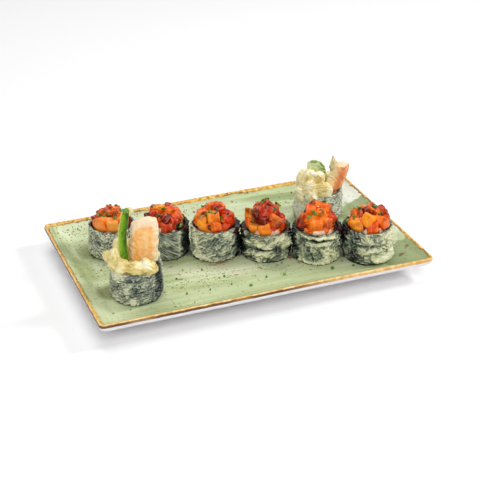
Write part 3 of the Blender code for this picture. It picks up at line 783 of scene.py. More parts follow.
def wrinkleAt(roll, turn, share):
    # (crest height, batter cover with painted highlight on its crests and painted shade in its creases), both
    # about 0 to 1
    cell, twist, stretch, warp, _, base, speck, _ = roll["grain"]
    swirl, reach, tall = turn + twist * share, wrap["grainRadius"], wrap["grainHeight"]
    around = Vector((math.cos(swirl) * reach, math.sin(swirl) * reach, 0))
    place = around + Vector((0, 0, share * tall))
    drift = Vector((roll["seed"] * 1.7, 0, 0))
    broad = noise.noise(place / 6.5 + drift)
    flow = (around + Vector((0, 0, share * tall * stretch))) / cell + drift
    flow += warp * noise.noise_vector(place / 5.0 + drift)
    ridge = ridgeAt(flow, 2.6) ** 2
    small = ridgeAt(flow * 2.1 + Vector((5.2, 1.3, roll["seed"])), 2.6) ** 2
    crease = ridgeAt(flow * 0.8 + Vector((2.7, 8.1, roll["seed"])), 4.0) ** 2
    plain = Vector((math.cos(turn) * reach, math.sin(turn) * reach, share * tall))
    flecks = easeBetween(-0.2, 0.24, noise.noise(plain / 0.8 + drift)) - 0.5
    crest = 0.55 * ridge + 0.25 * small + 0.3 * broad - 0.5 * crease + 0.3 * speck * flecks
    # paler on the ridges and darker in the creases: painted highlight and painted shade in place of the
    # wrinkles' relief shading
    coverAndShade = base + 0.26 * broad + 0.36 * (ridge - 0.2) + 0.14 * (small - 0.2) - 0.30 * (crease - 0.1)
    coverAndShade += speck * flecks - 0.45 * easeBetween(0.05, 0.0, share)
    for *where, more in roll["patches"]:
        coverAndShade += more * nearness(turn, share, *where)
    return crest, coverAndShade


def modelSleeve(roll):
    # a tube with its rim turned in, a wall and a closed foot
    radius, height, clear = roll["radius"], roll["height"], wrap["clear"]
    piece = addCylinder(roll["name"] + "_batteredWrap", wrap["around"], radius, clear, height, "NOTHING")
    openMesh(piece, "EDGE")
    pick(piece, "EDGE", lambda edge: abs(edge.verts[0].co.z - edge.verts[1].co.z) > height / 2)
    bpy.ops.mesh.subdivide(number_cuts=wrap["up"])
    pick(piece, "EDGE", lambda edge: min(vert.co.z for vert in edge.verts) > height - 0.00001)
    reach = radius
    for share, drop in wrap["rimLoops"]:
        wanted = radius - (radius - bore(roll)) * share
        bpy.ops.mesh.extrude_region_move(TRANSFORM_OT_translate={"value": (0, 0, 0)})
        bpy.ops.transform.resize(value=(wanted / reach, wanted / reach, 1), center_override=(0, 0, height))
        bpy.ops.transform.translate(value=(0, 0, drop))
        reach = wanted
    inside = height + sum(drop for share, drop in wrap["rimLoops"]) - clear
    bpy.ops.mesh.extrude_region_move(TRANSFORM_OT_translate={"value": (0, 0, -inside)})
    pick(piece, "EDGE", lambda edge: max(vert.co.z for vert in edge.verts) < clear + 0.00001)
    bpy.ops.mesh.bridge_edge_loops()
    closeMesh(outwards=True)
    return piece


def modelWrap(roll):
    piece = modelSleeve(roll)
    radius, height, foot = roll["radius"], roll["height"], wrap["clear"]
    relief, frost = roll["grain"][4], roll["grain"][7]
    coversAndShade, runs = [], []
    for vert in piece.data.vertices:
        spot = vert.co
        turn = math.atan2(spot.y, spot.x)
        inward = (radius - math.hypot(spot.x, spot.y)) / (radius - bore(roll))
        share = min(max((spot.z - foot) / (height - foot), 0.0), 1.0)
        crest, coverAndShade = wrinkleAt(roll, turn, share)
        edge = easeBetween(0.0, 0.04, share)
        out = sideRadius(roll, turn, share) + relief / 1000 * 2.0 * (crest - 0.3) * edge
        out += wrap["batter"] * (coverAndShade - 0.5) * edge
        reached = out + (bore(roll) - out) * max(inward, 0.0)
        lift = foot + (spot.z - foot) / (height - foot) * (rimHeight(roll, turn) - foot)
        if inward > 0.1 and share > 0.9:
            frayed = noise.noise(Vector((math.cos(turn) * 9, math.sin(turn) * 9, roll["seed"])))
            lift += wrap["fray"] * frayed
        vert.co = Vector((reached * math.cos(turn), reached * math.sin(turn), lift))
        thin = easeBetween(0.85, 0.30, inward) if share > 0.5 else easeBetween(0.5, 0.1, inward)
        coversAndShade.append(coverAndShade * thin)
        runs.append(max([nearness(turn, share, *drip) for drip in roll.get("drips", ())], default=0.0))
    keepShade(piece, "batterCoverAndShade", coversAndShade)
    keepShade(piece, "sauceRun", runs)
    keepShade(piece, "frostShare", [frost] * len(runs))
    return piece


def lookWrap():
    look = newLook(
        "batteredSeaweed", Roughness=0.42, Specular_IOR_Level=0.4, Coat_Weight=0.12, Coat_Roughness=0.3
    )
    grit = grainOf(look, 1300, 3, 0.6)
    loose = grainOf(look, 520, 3, 0.6, 0.6)
    # the cover carries painted highlight on crests and painted shade in creases and in the gaps between rolls
    mixed = plus(look, readShade(look, "batterCoverAndShade"), swing(look, grit, 0.10), swing(look, loose, 0.10))
    olive = rampOf(look, mixed, (
        (0.02, paint(10, 13, 12)),
        (0.16, paint(58, 68, 60)),
        (0.32, paint(104, 114, 97)),
        (0.48, paint(150, 157, 128)),
        (0.64, paint(212, 213, 168)),
        (0.90, paint(238, 236, 198)),
    ))
    frosted = rampOf(look, mixed, (
        (0.04, paint(22, 28, 28)),
        (0.26, paint(94, 104, 96)),
        (0.50, paint(158, 166, 148)),
        (0.75, paint(222, 224, 200)),
    ))
    colour = mixOf(look, readShade(look, "frostShare"), olive, frosted)
    wet = rangeOf(look, plus(look, readShade(look, "sauceRun"), swing(look, loose, 0.9)), 0.42, 0.60)
    feed(look, mixOf(look, wet, colour, paint(66, 8, 10)), "Base Color")
    dry = rangeOf(look, mixed, 0.1, 0.8, 0.30, 0.55)
    feed(look, maths(look, "SUBTRACT", dry, times(look, wet, 0.15)), "Roughness")
    bumpOf(look, mixed, 0.9, 0.0006)
    return look


wrapLook = lookWrap()
for roll in toppedRolls + endRolls:
    seat(modelWrap(roll), wrapLook, [roll["name"] + "_wrap"], rollPlacing(roll))
print("wraps modelled")


# The fillings: pale pink rice and fish at the front of the rim, dark glaze pooled at the sides and back.
filling = {
    "around": 96, "rings": 14, "sink": 0.0012, "crown": 0.0004, "bumps": 0.0005,
    "ricePile": 0.0036, "glazeBank": 0.0008,
    "rice": ((252, 222, 194), (244, 192, 148)), "glaze": ((52, 6, 16), (18, 4, 10)),
}


def modelFilling(roll):
    reach = bore(roll) - wrap["clear"]
    rim = roll["height"] - filling["sink"]
    piece = addCylinder(roll["name"] + "_riceFilling", filling["around"], reach, wrap["clear"], rim, "NGON")
    openMesh(piece, "FACE")
    pick(piece, "FACE", lambda face: face.normal.z > 0.9)
    for _ in range(filling["rings"]):
        bpy.ops.mesh.inset(thickness=reach / (filling["rings"] + 1))
    closeMesh(outwards=True)
    glazeTones, riceTones = ([Vector(paint(*tone)) for tone in filling[kind]] for kind in ("glaze", "rice"))
    middle, halfTurn = roll["pale"]
    colours = []
    for vert in piece.data.vertices:
        spot = vert.co
        turn = math.atan2(spot.y, spot.x)
        out = math.hypot(spot.x, spot.y) / reach
        lumps = noise.noise(Vector((spot.x, spot.y, roll["seed"] / 100)) * 620)
        clumps = noise.noise(Vector((spot.x, spot.y, roll["seed"] / 50)) * 260)
        pale = easeBetween(halfTurn + 16, halfTurn - 10, abs(turnAway(turn, middle)) + 20 * clumps)
        if spot.z > rim - 0.0001:
            vert.co.z += filling["crown"] * (1 - out) + filling["bumps"] * (lumps + clumps)
            inRing = easeBetween(0.5, 0.8, out) * easeBetween(1.01, 0.94, out)
            vert.co.z += filling["ricePile"] * pale * inRing
            vert.co.z += filling["glazeBank"] * (1 - pale) * easeBetween(0.8, 1.0, out)
        glazed = glazeTones[0].lerp(glazeTones[1], easeBetween(-0.3, 0.4, clumps))
        rice = riceTones[0].lerp(riceTones[1], easeBetween(-0.2, 0.5, lumps))
        colours.append(glazed.lerp(rice, pale))
    keepTint(piece, "fillingTint", colours)
    return piece


def lookFilling():
    look = newLook(
        "riceFilling", Roughness=0.35, Coat_Weight=0.5, Coat_Roughness=0.12, Subsurface_Weight=0.1,
        Subsurface_Radius=(0.004, 0.002, 0.001), Subsurface_Scale=0.5,
    )
    grain = grainOf(look, 900, 3, 0.6)
    grains = rampOf(look, grain, ((0.3, paint(214, 168, 138)), (0.55, paint(255, 252, 248))))
    toned = mixOf(look, 0.35, readShade(look, "fillingTint", "Color"), grains, "MULTIPLY")
    feed(look, toned, "Base Color")
    bumpOf(look, grain, 0.5, 0.0004)
    return look


fillingLook = lookFilling()
for roll in toppedRolls:
    seat(modelFilling(roll), fillingLook, [roll["name"] + "_filling"], rollPlacing(roll))
print("fillings modelled")


# The heaps: cut salmon, minced scraps between, and dark red glaze over a minced core.
salmon = {
    "yellow": ((254, 170, 26), (252, 134, 8)),
    "amber": ((255, 162, 40), (250, 122, 12)),
    "peach": ((255, 172, 76), (248, 124, 30)),
    "orange": ((246, 122, 22), (228, 76, 6)),
    "blush": ((244, 130, 58), (222, 78, 20)),
    "minced": ((240, 106, 42), (206, 44, 10)),
    "rust": ((206, 74, 12), (168, 40, 4)),
    "scarlet": ((216, 62, 3), (176, 26, 1)),
    "cherry": ((136, 12, 3), (92, 3, 2)),
    "wine": ((88, 4, 5), (52, 1, 5)),
    "plum": ((36, 4, 16), (16, 2, 10)),
}
heap = {
    "along": 0.76,
    "deep": 0.66,
    "low": 0.90,
    "backTiers": ((1.46, 2, 0.34), (1.76, 4, 0.60)),
    "backDice": 6.4,
    "backColours": ("orange", "amber", "orange", "scarlet", "rust", "orange"),
    "scraps": 50,
    "scrapSize": (2.2, 4.6),
    "scrapColours": ("orange", "scarlet", "orange", "rust", "wine", "orange", "wine", "cherry"),
    "scrapDepth": (-0.0012, 0.0008),
    "corner": 6.5,
    "cutsIn": 5,
    "swell": 1.06,
    "waver": 0.15,
    "drizzle": 0.70,
    "shear": 0.22,
    "hang": 0.0022,
    "overhang": 0.0020,
    "coreReach": 0.72,
    "coreUnder": 0.0012,
    "coreSink": 0.0004,
}


def onHeap(roll, along, climb, out=0.0, full=0.5):
    # how far along, away and up the middle of a piece lies, or a spot that far outside it
    reachX, reachY = roll["radius"] * heap["along"], roll["radius"] * heap["deep"]
    reachZ = roll["crown"] * heap["low"]
    span = math.sqrt(max(1 - (along / reachX) ** 2, 0.0))
    over = climb * math.pi / 2
    deep = -reachY * span * math.cos(over)
    up = reachZ * span ** full * math.sin(over)
    outward = Vector((along / reachX ** 2, deep / reachY ** 2, up / reachZ ** 2)).normalized()
    return Vector((along, deep, roll["height"] + up)) + outward * out, outward


def cutCube():
    # one cut of salmon, modelled once and copied
    deselect()
    bpy.ops.mesh.primitive_cube_add(size=1)
    cut = nameLast("salmonCut")
    openMesh(cut, "FACE")
    bpy.ops.mesh.select_all(action="SELECT")
    bpy.ops.mesh.subdivide(number_cuts=heap["cutsIn"])
    closeMesh()
    for vert in cut.data.vertices:
        power = heap["corner"]
        length = sum(abs(2 * side) ** power for side in vert.co) ** (1 / power)
        vert.co = vert.co / length * 1.04
    return cut


def fleshTone(name, deep=0):
    # the light or the deep tone of a kind of salmon
    return Vector(paint(*salmon[name][deep]))


def placeCut(cut, roll, middle, outward, sizes, turned, colour, draw):
    copy = copyOf(cut)
    facing = turned.to_matrix()
    drift = Vector([draw.uniform(0, 50) for _ in range(3)])
    shear = [draw.uniform(-heap["shear"], heap["shear"]) for _ in range(3)]
    back = easeBetween(-0.002, 0.008, middle.y)
    glazeAndShadeTone = fleshTone("rust", 1).lerp(fleshTone("wine", 1), 0.45 + 0.45 * back)
    drizzle = heap["drizzle"] * easeBetween(-0.013, -0.005, middle.y)
    rim = roll["height"]
    tints, grains = [], []
    for vert in copy.data.vertices:
        unit = vert.co.copy()
        push = 1 + heap["waver"] * noise.noise(unit * 2.1 + drift) + 0.04 * noise.noise(unit * 5.0 + drift)
        leant = unit + Vector((shear[0] * unit.z, shear[1] * unit.x, shear[2] * unit.y))
        spot = facing @ Vector([side * size * push * heap["swell"] for side, size in zip(leant, sizes)])
        depth = spot.dot(outward) / max(sizes)
        place = middle + spot
        # keeps what hangs over the rim inside the wrap
        flat = Vector((place.x, place.y))
        past = heap["overhang"] * easeBetween(rim + 0.0002, rim + 0.0028, place.z)
        limit = bore(roll) - wrap["clear"] + past
        if flat.length > limit:
            flat *= (limit + (flat.length - limit) * 0.12) / flat.length
        vert.co = Vector((flat.x, flat.y, max(place.z, rim - heap["hang"])))
        blend = easeBetween(-0.35, 0.45, noise.noise(unit * 1.6 + drift * 1.3))
        tone = fleshTone(colour).lerp(fleshTone(colour, 1), blend)
        # the sides of each cut that face into the heap take the dark glaze: sauce pooled in the crevices, and
        # painted shade where the cuts press together
        saucedAndShaded = easeBetween(0.12, -0.26, depth + 0.22 * noise.noise(unit * 3 + drift))
        run = easeBetween(0.14, 0.30, noise.noise(place * 170 + Vector((roll["seed"], 0, 0))))
        tints.append(tone.lerp(fleshTone("wine"), drizzle * run).lerp(glazeAndShadeTone, saucedAndShaded))
        grains.append(unit + drift)
    keepTint(copy, "salmonTint", tints)
    keepPlace(copy, "salmonGrain", grains)
    return copy


def mincedCore(roll):
    deselect()
    bpy.ops.mesh.primitive_uv_sphere_add(segments=72, ring_count=36, radius=1)
    core = nameLast("mincedCore")
    openMesh(core, "FACE")
    pick(core, "FACE", lambda face: face.calc_center_median().z < -0.35)
    bpy.ops.mesh.delete(type="FACE")
    pick(core, "EDGE", lambda edge: edge.is_boundary)
    bpy.ops.mesh.edge_face_add()
    closeMesh()
    reach = roll["radius"] * heap["coreReach"]
    drift = Vector((roll["seed"], 2.2, 0))
    tints, grains = [], []
    for vert in core.data.vertices:
        unit = vert.co.copy()
        bumps = noise.noise(unit * 4.2 + drift) + 0.5 * noise.noise(unit * 9 + drift)
        swell = 1 + 0.07 * bumps
        up = unit.z * (roll["crown"] * heap["low"] if unit.z > 0 else heap["coreUnder"])
        wide = reach * swell
        vert.co = Vector((unit.x * wide, unit.y * wide, roll["height"] - heap["coreSink"] + up * swell))
        inFront = easeBetween(0.35, -0.45, unit.y) * easeBetween(0.95, 0.6, abs(unit.x))
        dark = fleshTone("wine").lerp(fleshTone("plum"), easeBetween(-0.2, 0.5, bumps))
        red = fleshTone("cherry").lerp(fleshTone("rust"), easeBetween(-0.1, 0.6, bumps))
        tints.append(dark.lerp(red, inFront))
        grains.append(unit * 3 + drift)
    keepTint(core, "salmonTint", tints)
    keepPlace(core, "salmonGrain", grains)
    return core


def modelHeap(roll, cut):
    # the listed cuts lie near where the CAD heap has its dice, and smaller ones lie behind them
    plan = [(along / 1000, climb, size / 1000, colour) for along, climb, size, colour in roll["dice"]]
    draw = random.Random(roll["seed"])
    for tier, count, spread in heap["backTiers"]:
        for i in range(count):
            along = roll["radius"] * spread * (2 * (i + 0.5) / count - 1) + draw.uniform(-0.001, 0.001)
            size = heap["backDice"] / 1000 * draw.uniform(0.85, 1.1)
            climb = tier + draw.uniform(-0.14, 0.14)
            colour = heap["backColours"][(i + roll["seed"]) % len(heap["backColours"])]
            plan.append((along, climb, size, colour))
    draw = random.Random(roll["seed"] + 1)
    loose = random.Random(roll["seed"] + 2)
    pieces = [mincedCore(roll)]
    for along, climb, size, colour in plan:
        sizes = [size * draw.uniform(0.88, 1.08) for _ in range(3)]
        turned = Euler((draw.uniform(-0.45, 0.45), draw.uniform(-0.45, 0.45), draw.uniform(-0.8, 0.8)))
        middle, outward = onHeap(roll, along, climb)
        pieces.append(placeCut(cut, roll, middle, outward, sizes, turned, colour, loose))
    for _ in range(heap["scraps"]):
        along = roll["radius"] * heap["along"] * loose.uniform(-0.97, 0.97)
        climb = loose.uniform(0.02, 1.98)
        size = loose.uniform(*heap["scrapSize"]) / 1000
        middle, outward = onHeap(roll, along, climb, loose.uniform(*heap["scrapDepth"]), 0.95)
        sizes = [size * loose.uniform(0.7, 1.3) for _ in range(3)]
        turned = Euler([loose.uniform(-1.5, 1.5) for _ in range(3)])
        colour = loose.choice(heap["scrapColours"])
        pieces.append(placeCut(cut, roll, middle, outward, sizes, turned, colour, loose))
    return joinPieces(pieces, roll["name"] + "_salmonHeap")


def lookSalmon():
    look = newLook(
        "wetSalmon", Roughness=0.3, Specular_IOR_Level=0.10, Coat_Weight=0.35, Coat_Roughness=0.05,
        Subsurface_Weight=0.06, Subsurface_Radius=(0.004, 0.0015, 0.0006), Subsurface_Scale=0.6,
    )
    tint = readShade(look, "salmonTint", "Color")
    grain = readShade(look, "salmonGrain", "Vector")
    bands = addNode(look, "ShaderNodeTexWave", Scale=0.55, Distortion=4.0, Detail=2.0, Detail_Scale=1.4)
    wire(look, grain, bands.inputs["Vector"])
    fat = rangeOf(look, bands.outputs["Fac"], 0.80, 0.99)
    bright = mixOf(look, 0.55, tint, paint(255, 214, 160))
    marbled = mixOf(look, times(look, fat, 0.24), tint, bright)
    flesh = noiseOf(look, grain, 6.0, 4, 0.65)
    deep = mixOf(look, 1.0, marbled, tint, "MULTIPLY")
    feed(look, mixOf(look, rangeOf(look, flesh, 0.60, 0.38, 0.0, 0.22), marbled, deep), "Base Color")
    feed(look, rangeOf(look, flesh, 0.35, 0.65, 0.16, 0.42), "Roughness")
    bumpOf(look, flesh, 0.35, 0.0006)
    return look


salmonLook = lookSalmon()
cut = cutCube()
heaps = {}
for roll in toppedRolls:
    heaps[roll["name"]] = modelHeap(roll, cut)
    seat(heaps[roll["name"]], salmonLook, [roll["name"] + "_tartare"], rollPlacing(roll))
bpy.data.objects.remove(cut)
print("salmon heaps modelled")


# The two tall ends: swellings of batter over the rim, with strips of salmon and avocado in them.
# A lump is its middle along the row, away and up from the well, then its half sizes.
batter = {
    "end_1": (
        ((0.0100, -0.0115, 0.0295), (0.0080, 0.0054, 0.0054)),
        ((0.0015, -0.0130, 0.0290), (0.0070, 0.0050, 0.0052)),
        ((-0.0085, -0.0110, 0.0290), (0.0060, 0.0056, 0.0064)),
        ((-0.0140, -0.0050, 0.0320), (0.0062, 0.0078, 0.0088)),
        ((-0.0195, -0.0010, 0.0325), (0.0042, 0.0044, 0.0046)),
        ((-0.0120, 0.0020, 0.0385), (0.0046, 0.0060, 0.0084)),
        ((-0.0030, 0.0090, 0.0330), (0.0090, 0.0050, 0.0090)),
        ((0.0118, 0.0080, 0.0285), (0.0052, 0.0064, 0.0062)),
    ),
    "end_2": (
        ((0.0040, -0.0135, 0.0290), (0.0072, 0.0060, 0.0074)),
        ((-0.0070, -0.0115, 0.0300), (0.0068, 0.0062, 0.0086)),
        ((-0.0126, -0.0026, 0.0305), (0.0060, 0.0086, 0.0124)),
        ((-0.0080, -0.0060, 0.0385), (0.0058, 0.0054, 0.0058)),
        ((-0.0142, -0.0088, 0.0255), (0.0046, 0.0056, 0.0072)),
        ((-0.0050, -0.0158, 0.0255), (0.0060, 0.0044, 0.0062)),
        ((-0.0005, -0.0075, 0.0375), (0.0056, 0.0052, 0.0062)),
        ((-0.0070, 0.0110, 0.0290), (0.0090, 0.0060, 0.0080)),
        ((0.0090, 0.0105, 0.0280), (0.0062, 0.0060, 0.0068)),
    ),
}
batterFinish = {
    "voxel": 0.0006, "relief": 0.0009, "fine": 0.0004, "blobSize": (0.0018, 0.0034),
    "blobs": {"end_1": 1, "end_2": 4}, "crisp": {"end_1": 0.42, "end_2": 0.58},
    "blobOut": 0.82, "plugDrop": 0.004, "plugShare": 0.98, "plugHeight": 0.0070,
}


def batterLumps(roll):
    # the named lumps, small ones on them, and one that fills the sleeve
    draw = random.Random(roll["seed"])
    lumps = list(batter[roll["name"]])
    for middle, halves in batter[roll["name"]]:
        for _ in range(batterFinish["blobs"][roll["name"]]):
            out = Vector([draw.gauss(0, 1) for _ in range(3)]).normalized()
            spot = [m + h * batterFinish["blobOut"] * o for m, h, o in zip(middle, halves, out)]
            size = draw.uniform(*batterFinish["blobSize"])
            lumps.append((spot, (size, size * draw.uniform(0.7, 1.2), size * draw.uniform(0.7, 1.1))))
    reach = (bore(roll) - wrap["clear"]) * batterFinish["plugShare"]
    middle = (0, 0, roll["height"] - batterFinish["plugDrop"])
    lumps.append((middle, (reach, reach, batterFinish["plugHeight"])))
    return lumps


def modelBatter(roll):
    parts = [addBall("lump", middle, halves) for middle, halves in batterLumps(roll)]
    piece = joinPieces(parts, roll["name"] + "_batterFolds")
    applyModifier(piece, "REMESH", mode="VOXEL", voxel_size=batterFinish["voxel"])
    applyModifier(piece, "SMOOTH", factor=0.5, iterations=4)
    shades = []
    drift = Vector((roll["seed"], 0, 0))
    normals = [vert.normal.copy() for vert in piece.data.vertices]
    for vert, normal in zip(piece.data.vertices, normals):
        spot = vert.co * 1000
        bend = noise.noise_vector(spot * 0.16 + drift)
        # folds hang down like cloth, but run along the rim at the front
        along = easeBetween(-0.006, -0.010, vert.co.y) * easeBetween(0.036, 0.032, vert.co.z)
        hung = Vector((spot.x * 0.24, spot.y * 0.24, spot.z * 0.07))
        laid = Vector((spot.x * 0.09, spot.y * 0.2, spot.z * 0.24))
        flow = hung.lerp(laid, along)
        crest = ridgeAt(flow + bend * 0.5 + drift, 2.0) - 0.5
        fine = ridgeAt(flow * 2.4 + bend * 0.4, 2.0) - 0.5
        vert.co += normal * (batterFinish["relief"] * crest + batterFinish["fine"] * fine)
        cloud = noise.noise(spot * 0.13 - drift)
        # raised crests lighter and hollows darker: painted shade in the hollows of the batter, with random
        # tone from the cloud
        shades.append(batterFinish["crisp"][roll["name"]] + 0.35 * crest + 0.25 * fine + 0.5 * cloud)
    keepShade(piece, "crispnessAndShade", shades)
    return piece


def lookBatter():
    look = newLook(
        "paleBatter", Roughness=0.45, Coat_Weight=0.25, Coat_Roughness=0.2, Subsurface_Weight=0.12,
        Subsurface_Radius=(0.004, 0.003, 0.0015), Subsurface_Scale=0.5,
    )
    mixed = plus(look, readShade(look, "crispnessAndShade"), swing(look, grainOf(look, 520, 4, 0.65), 0.5))
    # the darker yellow tones low on the ramp are painted shade in the batter's hollows
    colour = rampOf(look, mixed, (
        (0.08, paint(204, 178, 98)),
        (0.28, paint(226, 204, 128)),
        (0.48, paint(236, 218, 148)),
        (0.68, paint(246, 234, 182)),
        (0.90, paint(252, 248, 222)),
    ))
    feed(look, colour, "Base Color")
    bumpOf(look, mixed, 0.4, 0.0006)
    return look


# The strips: where each leaves the filling and where its tip is, in the roll's own frame, with its size and
# lean. A crust is its middle, its half sizes, and how much it tapers and leans.
strips = {
    "end_1_salmon": {
        "mouth": (0.0052, 0.0030), "tip": (0.0068, 0.0045, 0.0616), "width": 0.0225, "depth": 0.0100,
        "turn": 4, "bow": 0.0008, "snug": 0.74, "tipShare": 0.80, "slant": 0.20, "crusts": (),
    },
    "end_1_avocado": {
        "mouth": (-0.0062, -0.0080), "tip": (-0.0050, -0.0010, 0.0719), "width": 0.0068, "depth": 0.0062,
        "turn": 10, "bow": -0.0026, "snug": 0.70, "tipShare": 0.85, "slant": 0.0,
        "crusts": (((-0.0034, 0.0012, 0.0687), (0.0034, 0.0028, 0.0031), 0.0, 0.0),),
    },
    "end_2_salmon": {
        "mouth": (0.0102, -0.0052), "tip": (0.0185, -0.0010, 0.0490), "width": 0.0150, "depth": 0.0125,
        "turn": -30, "bow": 0.0012, "snug": 0.66, "tipShare": 0.76, "slant": 0.06,
        "crusts": (((0.0124, -0.0015, 0.0478), (0.0034, 0.0030, 0.0078), 0.8, 0.0012),),
    },
    "end_2_avocado": {
        "mouth": (-0.0020, 0.0050), "tip": (-0.0038, 0.0040, 0.0480), "width": 0.0165, "depth": 0.0066,
        "turn": 14, "bow": 0.0016, "snug": 0.66, "tipShare": 0.66, "slant": -0.10, "crusts": (),
    },
}
stripMesh = {
    "around": 72, "up": 90, "relief": 0.0006, "tipRound": 0.0022, "tipRings": 8,
    "mouthLift": 0.0015, "footDraw": 0.8, "inside": 0.3, "square": 0.93,
}


def stripStation(roll, strip, share):
    # the middle and size of the strip from its foot at 0 to its tip at 1
    mouth = Vector((*strip["mouth"], roll["height"] + stripMesh["mouthLift"]))
    foot = Vector((mouth.x * stripMesh["footDraw"], mouth.y * stripMesh["footDraw"], wrap["clear"]))
    tip = Vector(strip["tip"])
    inside = stripMesh["inside"]
    if share < inside:
        return foot.lerp(mouth, share / inside), strip["snug"]
    climb = (share - inside) / (1 - inside)
    bow = Vector((strip["bow"] * math.sin(math.pi * climb), 0, 0))
    full = strip["snug"] + (1 - strip["snug"]) * easeBetween(0.0, 0.14, climb)
    full -= (1 - strip["tipShare"]) * max(0.0, (climb - 0.6) / 0.4) ** 2.4
    return mouth.lerp(tip, climb) + bow, full


def keepStripShades(piece, across, crest, climb, crust):
    shades = {"acrossStrip": across, "stripCrest": crest, "climbStrip": climb, "crustShare": crust}
    for name, values in shades.items():
        keepShade(piece, name, values)


def modelCrust(middle, halves, taper, lean, drift):
    # a crumb of fried batter at a strip's tip
    crust = addBall("crust", middle, halves)
    for vert in crust.data.vertices:
        bumps = noise.noise(vert.co * 700 + drift) + 0.5 * noise.noise(vert.co * 1500)
        off = (vert.co - Vector(middle)) * (1 + 0.32 * bumps)
        rise = off.z / halves[2]
        narrow = 1 - taper * max(rise, -0.2)
        vert.co = Vector(middle) + Vector((off.x * narrow - lean * max(rise, 0), off.y * narrow, off.z))
    count = len(crust.data.vertices)
    keepStripShades(crust, [0.0] * count, [0.5] * count, [1.0] * count, [1.0] * count)
    return crust


def modelStrip(roll, name):
    strip = strips[name]
    piece = addCylinder(name + "_strip", stripMesh["around"], 1, 0, 1, "NGON")
    openMesh(piece, "EDGE")
    pick(piece, "EDGE", lambda edge: abs(edge.verts[0].co.z - edge.verts[1].co.z) > 0.5)
    bpy.ops.mesh.subdivide(number_cuts=stripMesh["up"])
    bpy.ops.mesh.select_mode(type="FACE")
    pick(piece, "FACE", lambda face: face.normal.z > 0.9)
    for _ in range(stripMesh["tipRings"]):
        bpy.ops.mesh.inset(thickness=0.88 / stripMesh["tipRings"])
    closeMesh()
    facing = Matrix.Rotation(math.radians(strip["turn"]), 3, "Z")
    drift = Vector((roll["seed"], len(name), 0))
    tipRound = stripMesh["tipRound"]
    sides, crests, climbs = [], [], []
    for vert in piece.data.vertices:
        unit = vert.co.copy()
        turn = math.atan2(unit.y, unit.x)
        out = min(math.hypot(unit.x, unit.y), 1.0)
        middle, size = stripStation(roll, strip, unit.z)
        square = stripMesh["square"] * max(abs(math.cos(turn)), abs(math.sin(turn))) ** -0.45
        # the last rings pull in to round the end off
        ending = easeBetween(0.955, 1.0, unit.z)
        reach = size * square * out * (1 - 0.16 * ending)
        across = strip["width"] / 2 * math.cos(turn) * reach
        deep = strip["depth"] / 2 * math.sin(turn) * reach
        rise = strip["slant"] * across * easeBetween(0.6, 1.0, unit.z)
        place = middle + facing @ Vector((across, deep, rise))
        if unit.z > 0.999:
            place.z += tipRound * (1 - out ** 2)
        place.z -= tipRound * ending * 0.6
        spot = place * 1000
        bend = noise.noise_vector(spot * 0.11 + drift)
        crest = ridgeAt(spot * 0.26 + bend + drift, 2.4)
        lump = noise.noise(spot * 0.14 + drift)
        away = facing @ Vector((math.cos(turn), math.sin(turn), 0))
        free = easeBetween(0.28, 0.36, unit.z)
        vert.co = place + away * free * stripMesh["relief"] * ((crest - 0.5) + 0.9 * lump) * out
        sides.append(math.cos(turn) * out)
        climbs.append(unit.z)
        crests.append(crest * 0.6 + 0.4 * (lump + 0.5))
    keepStripShades(piece, sides, crests, climbs, [0.0] * len(sides))
    crusts = [modelCrust(*crust, drift) for crust in strip["crusts"]]
    return joinPieces([piece] + crusts, name + "_strip") if crusts else piece


def lookStrip(tones):
    look = newLook(
        tones["name"], Roughness=0.42, Specular_IOR_Level=0.2, Coat_Weight=0.08, Coat_Roughness=0.18,
        Subsurface_Weight=0.06, Subsurface_Radius=(0.004, 0.002, 0.001), Subsurface_Scale=0.5,
    )
    across = readShade(look, "acrossStrip")
    crest = readShade(look, "stripCrest")
    climb = readShade(look, "climbStrip")
    grit = grainOf(look, tones["grit"], 4, 0.65)
    waver = swing(look, grit, 0.7)
    side = times(look, plus(look, across, waver, 1.0), 0.5)
    flesh = rampOf(look, side, [(place, paint(*colour)) for place, colour in tones["across"]])
    low, high, share = tones["mottleAt"]
    patch = rangeOf(look, plus(look, crest, waver), low, high, 0.0, share)
    mottled = mixOf(look, patch, flesh, paint(*tones["mottle"]))
    low, high, arch = tones["tipAt"]
    tipClimb = plus(look, climb, times(look, across, across, arch), times(look, waver, 0.2))
    tipped = mixOf(look, rangeOf(look, tipClimb, low, high), mottled, paint(*tones["tip"]))
    low, high = tones["footAt"]
    rooted = mixOf(look, rangeOf(look, climb, high, low), tipped, paint(*tones["foot"]))
    fried = rampOf(look, grit, (
        (0.32, paint(196, 168, 104)),
        (0.50, paint(228, 210, 156)),
        (0.66, paint(244, 236, 204)),
    ))
    feed(look, mixOf(look, readShade(look, "crustShare"), rooted, fried), "Base Color")
    bumpOf(look, plus(look, crest, grit), 0.35, 0.0005)
    return look


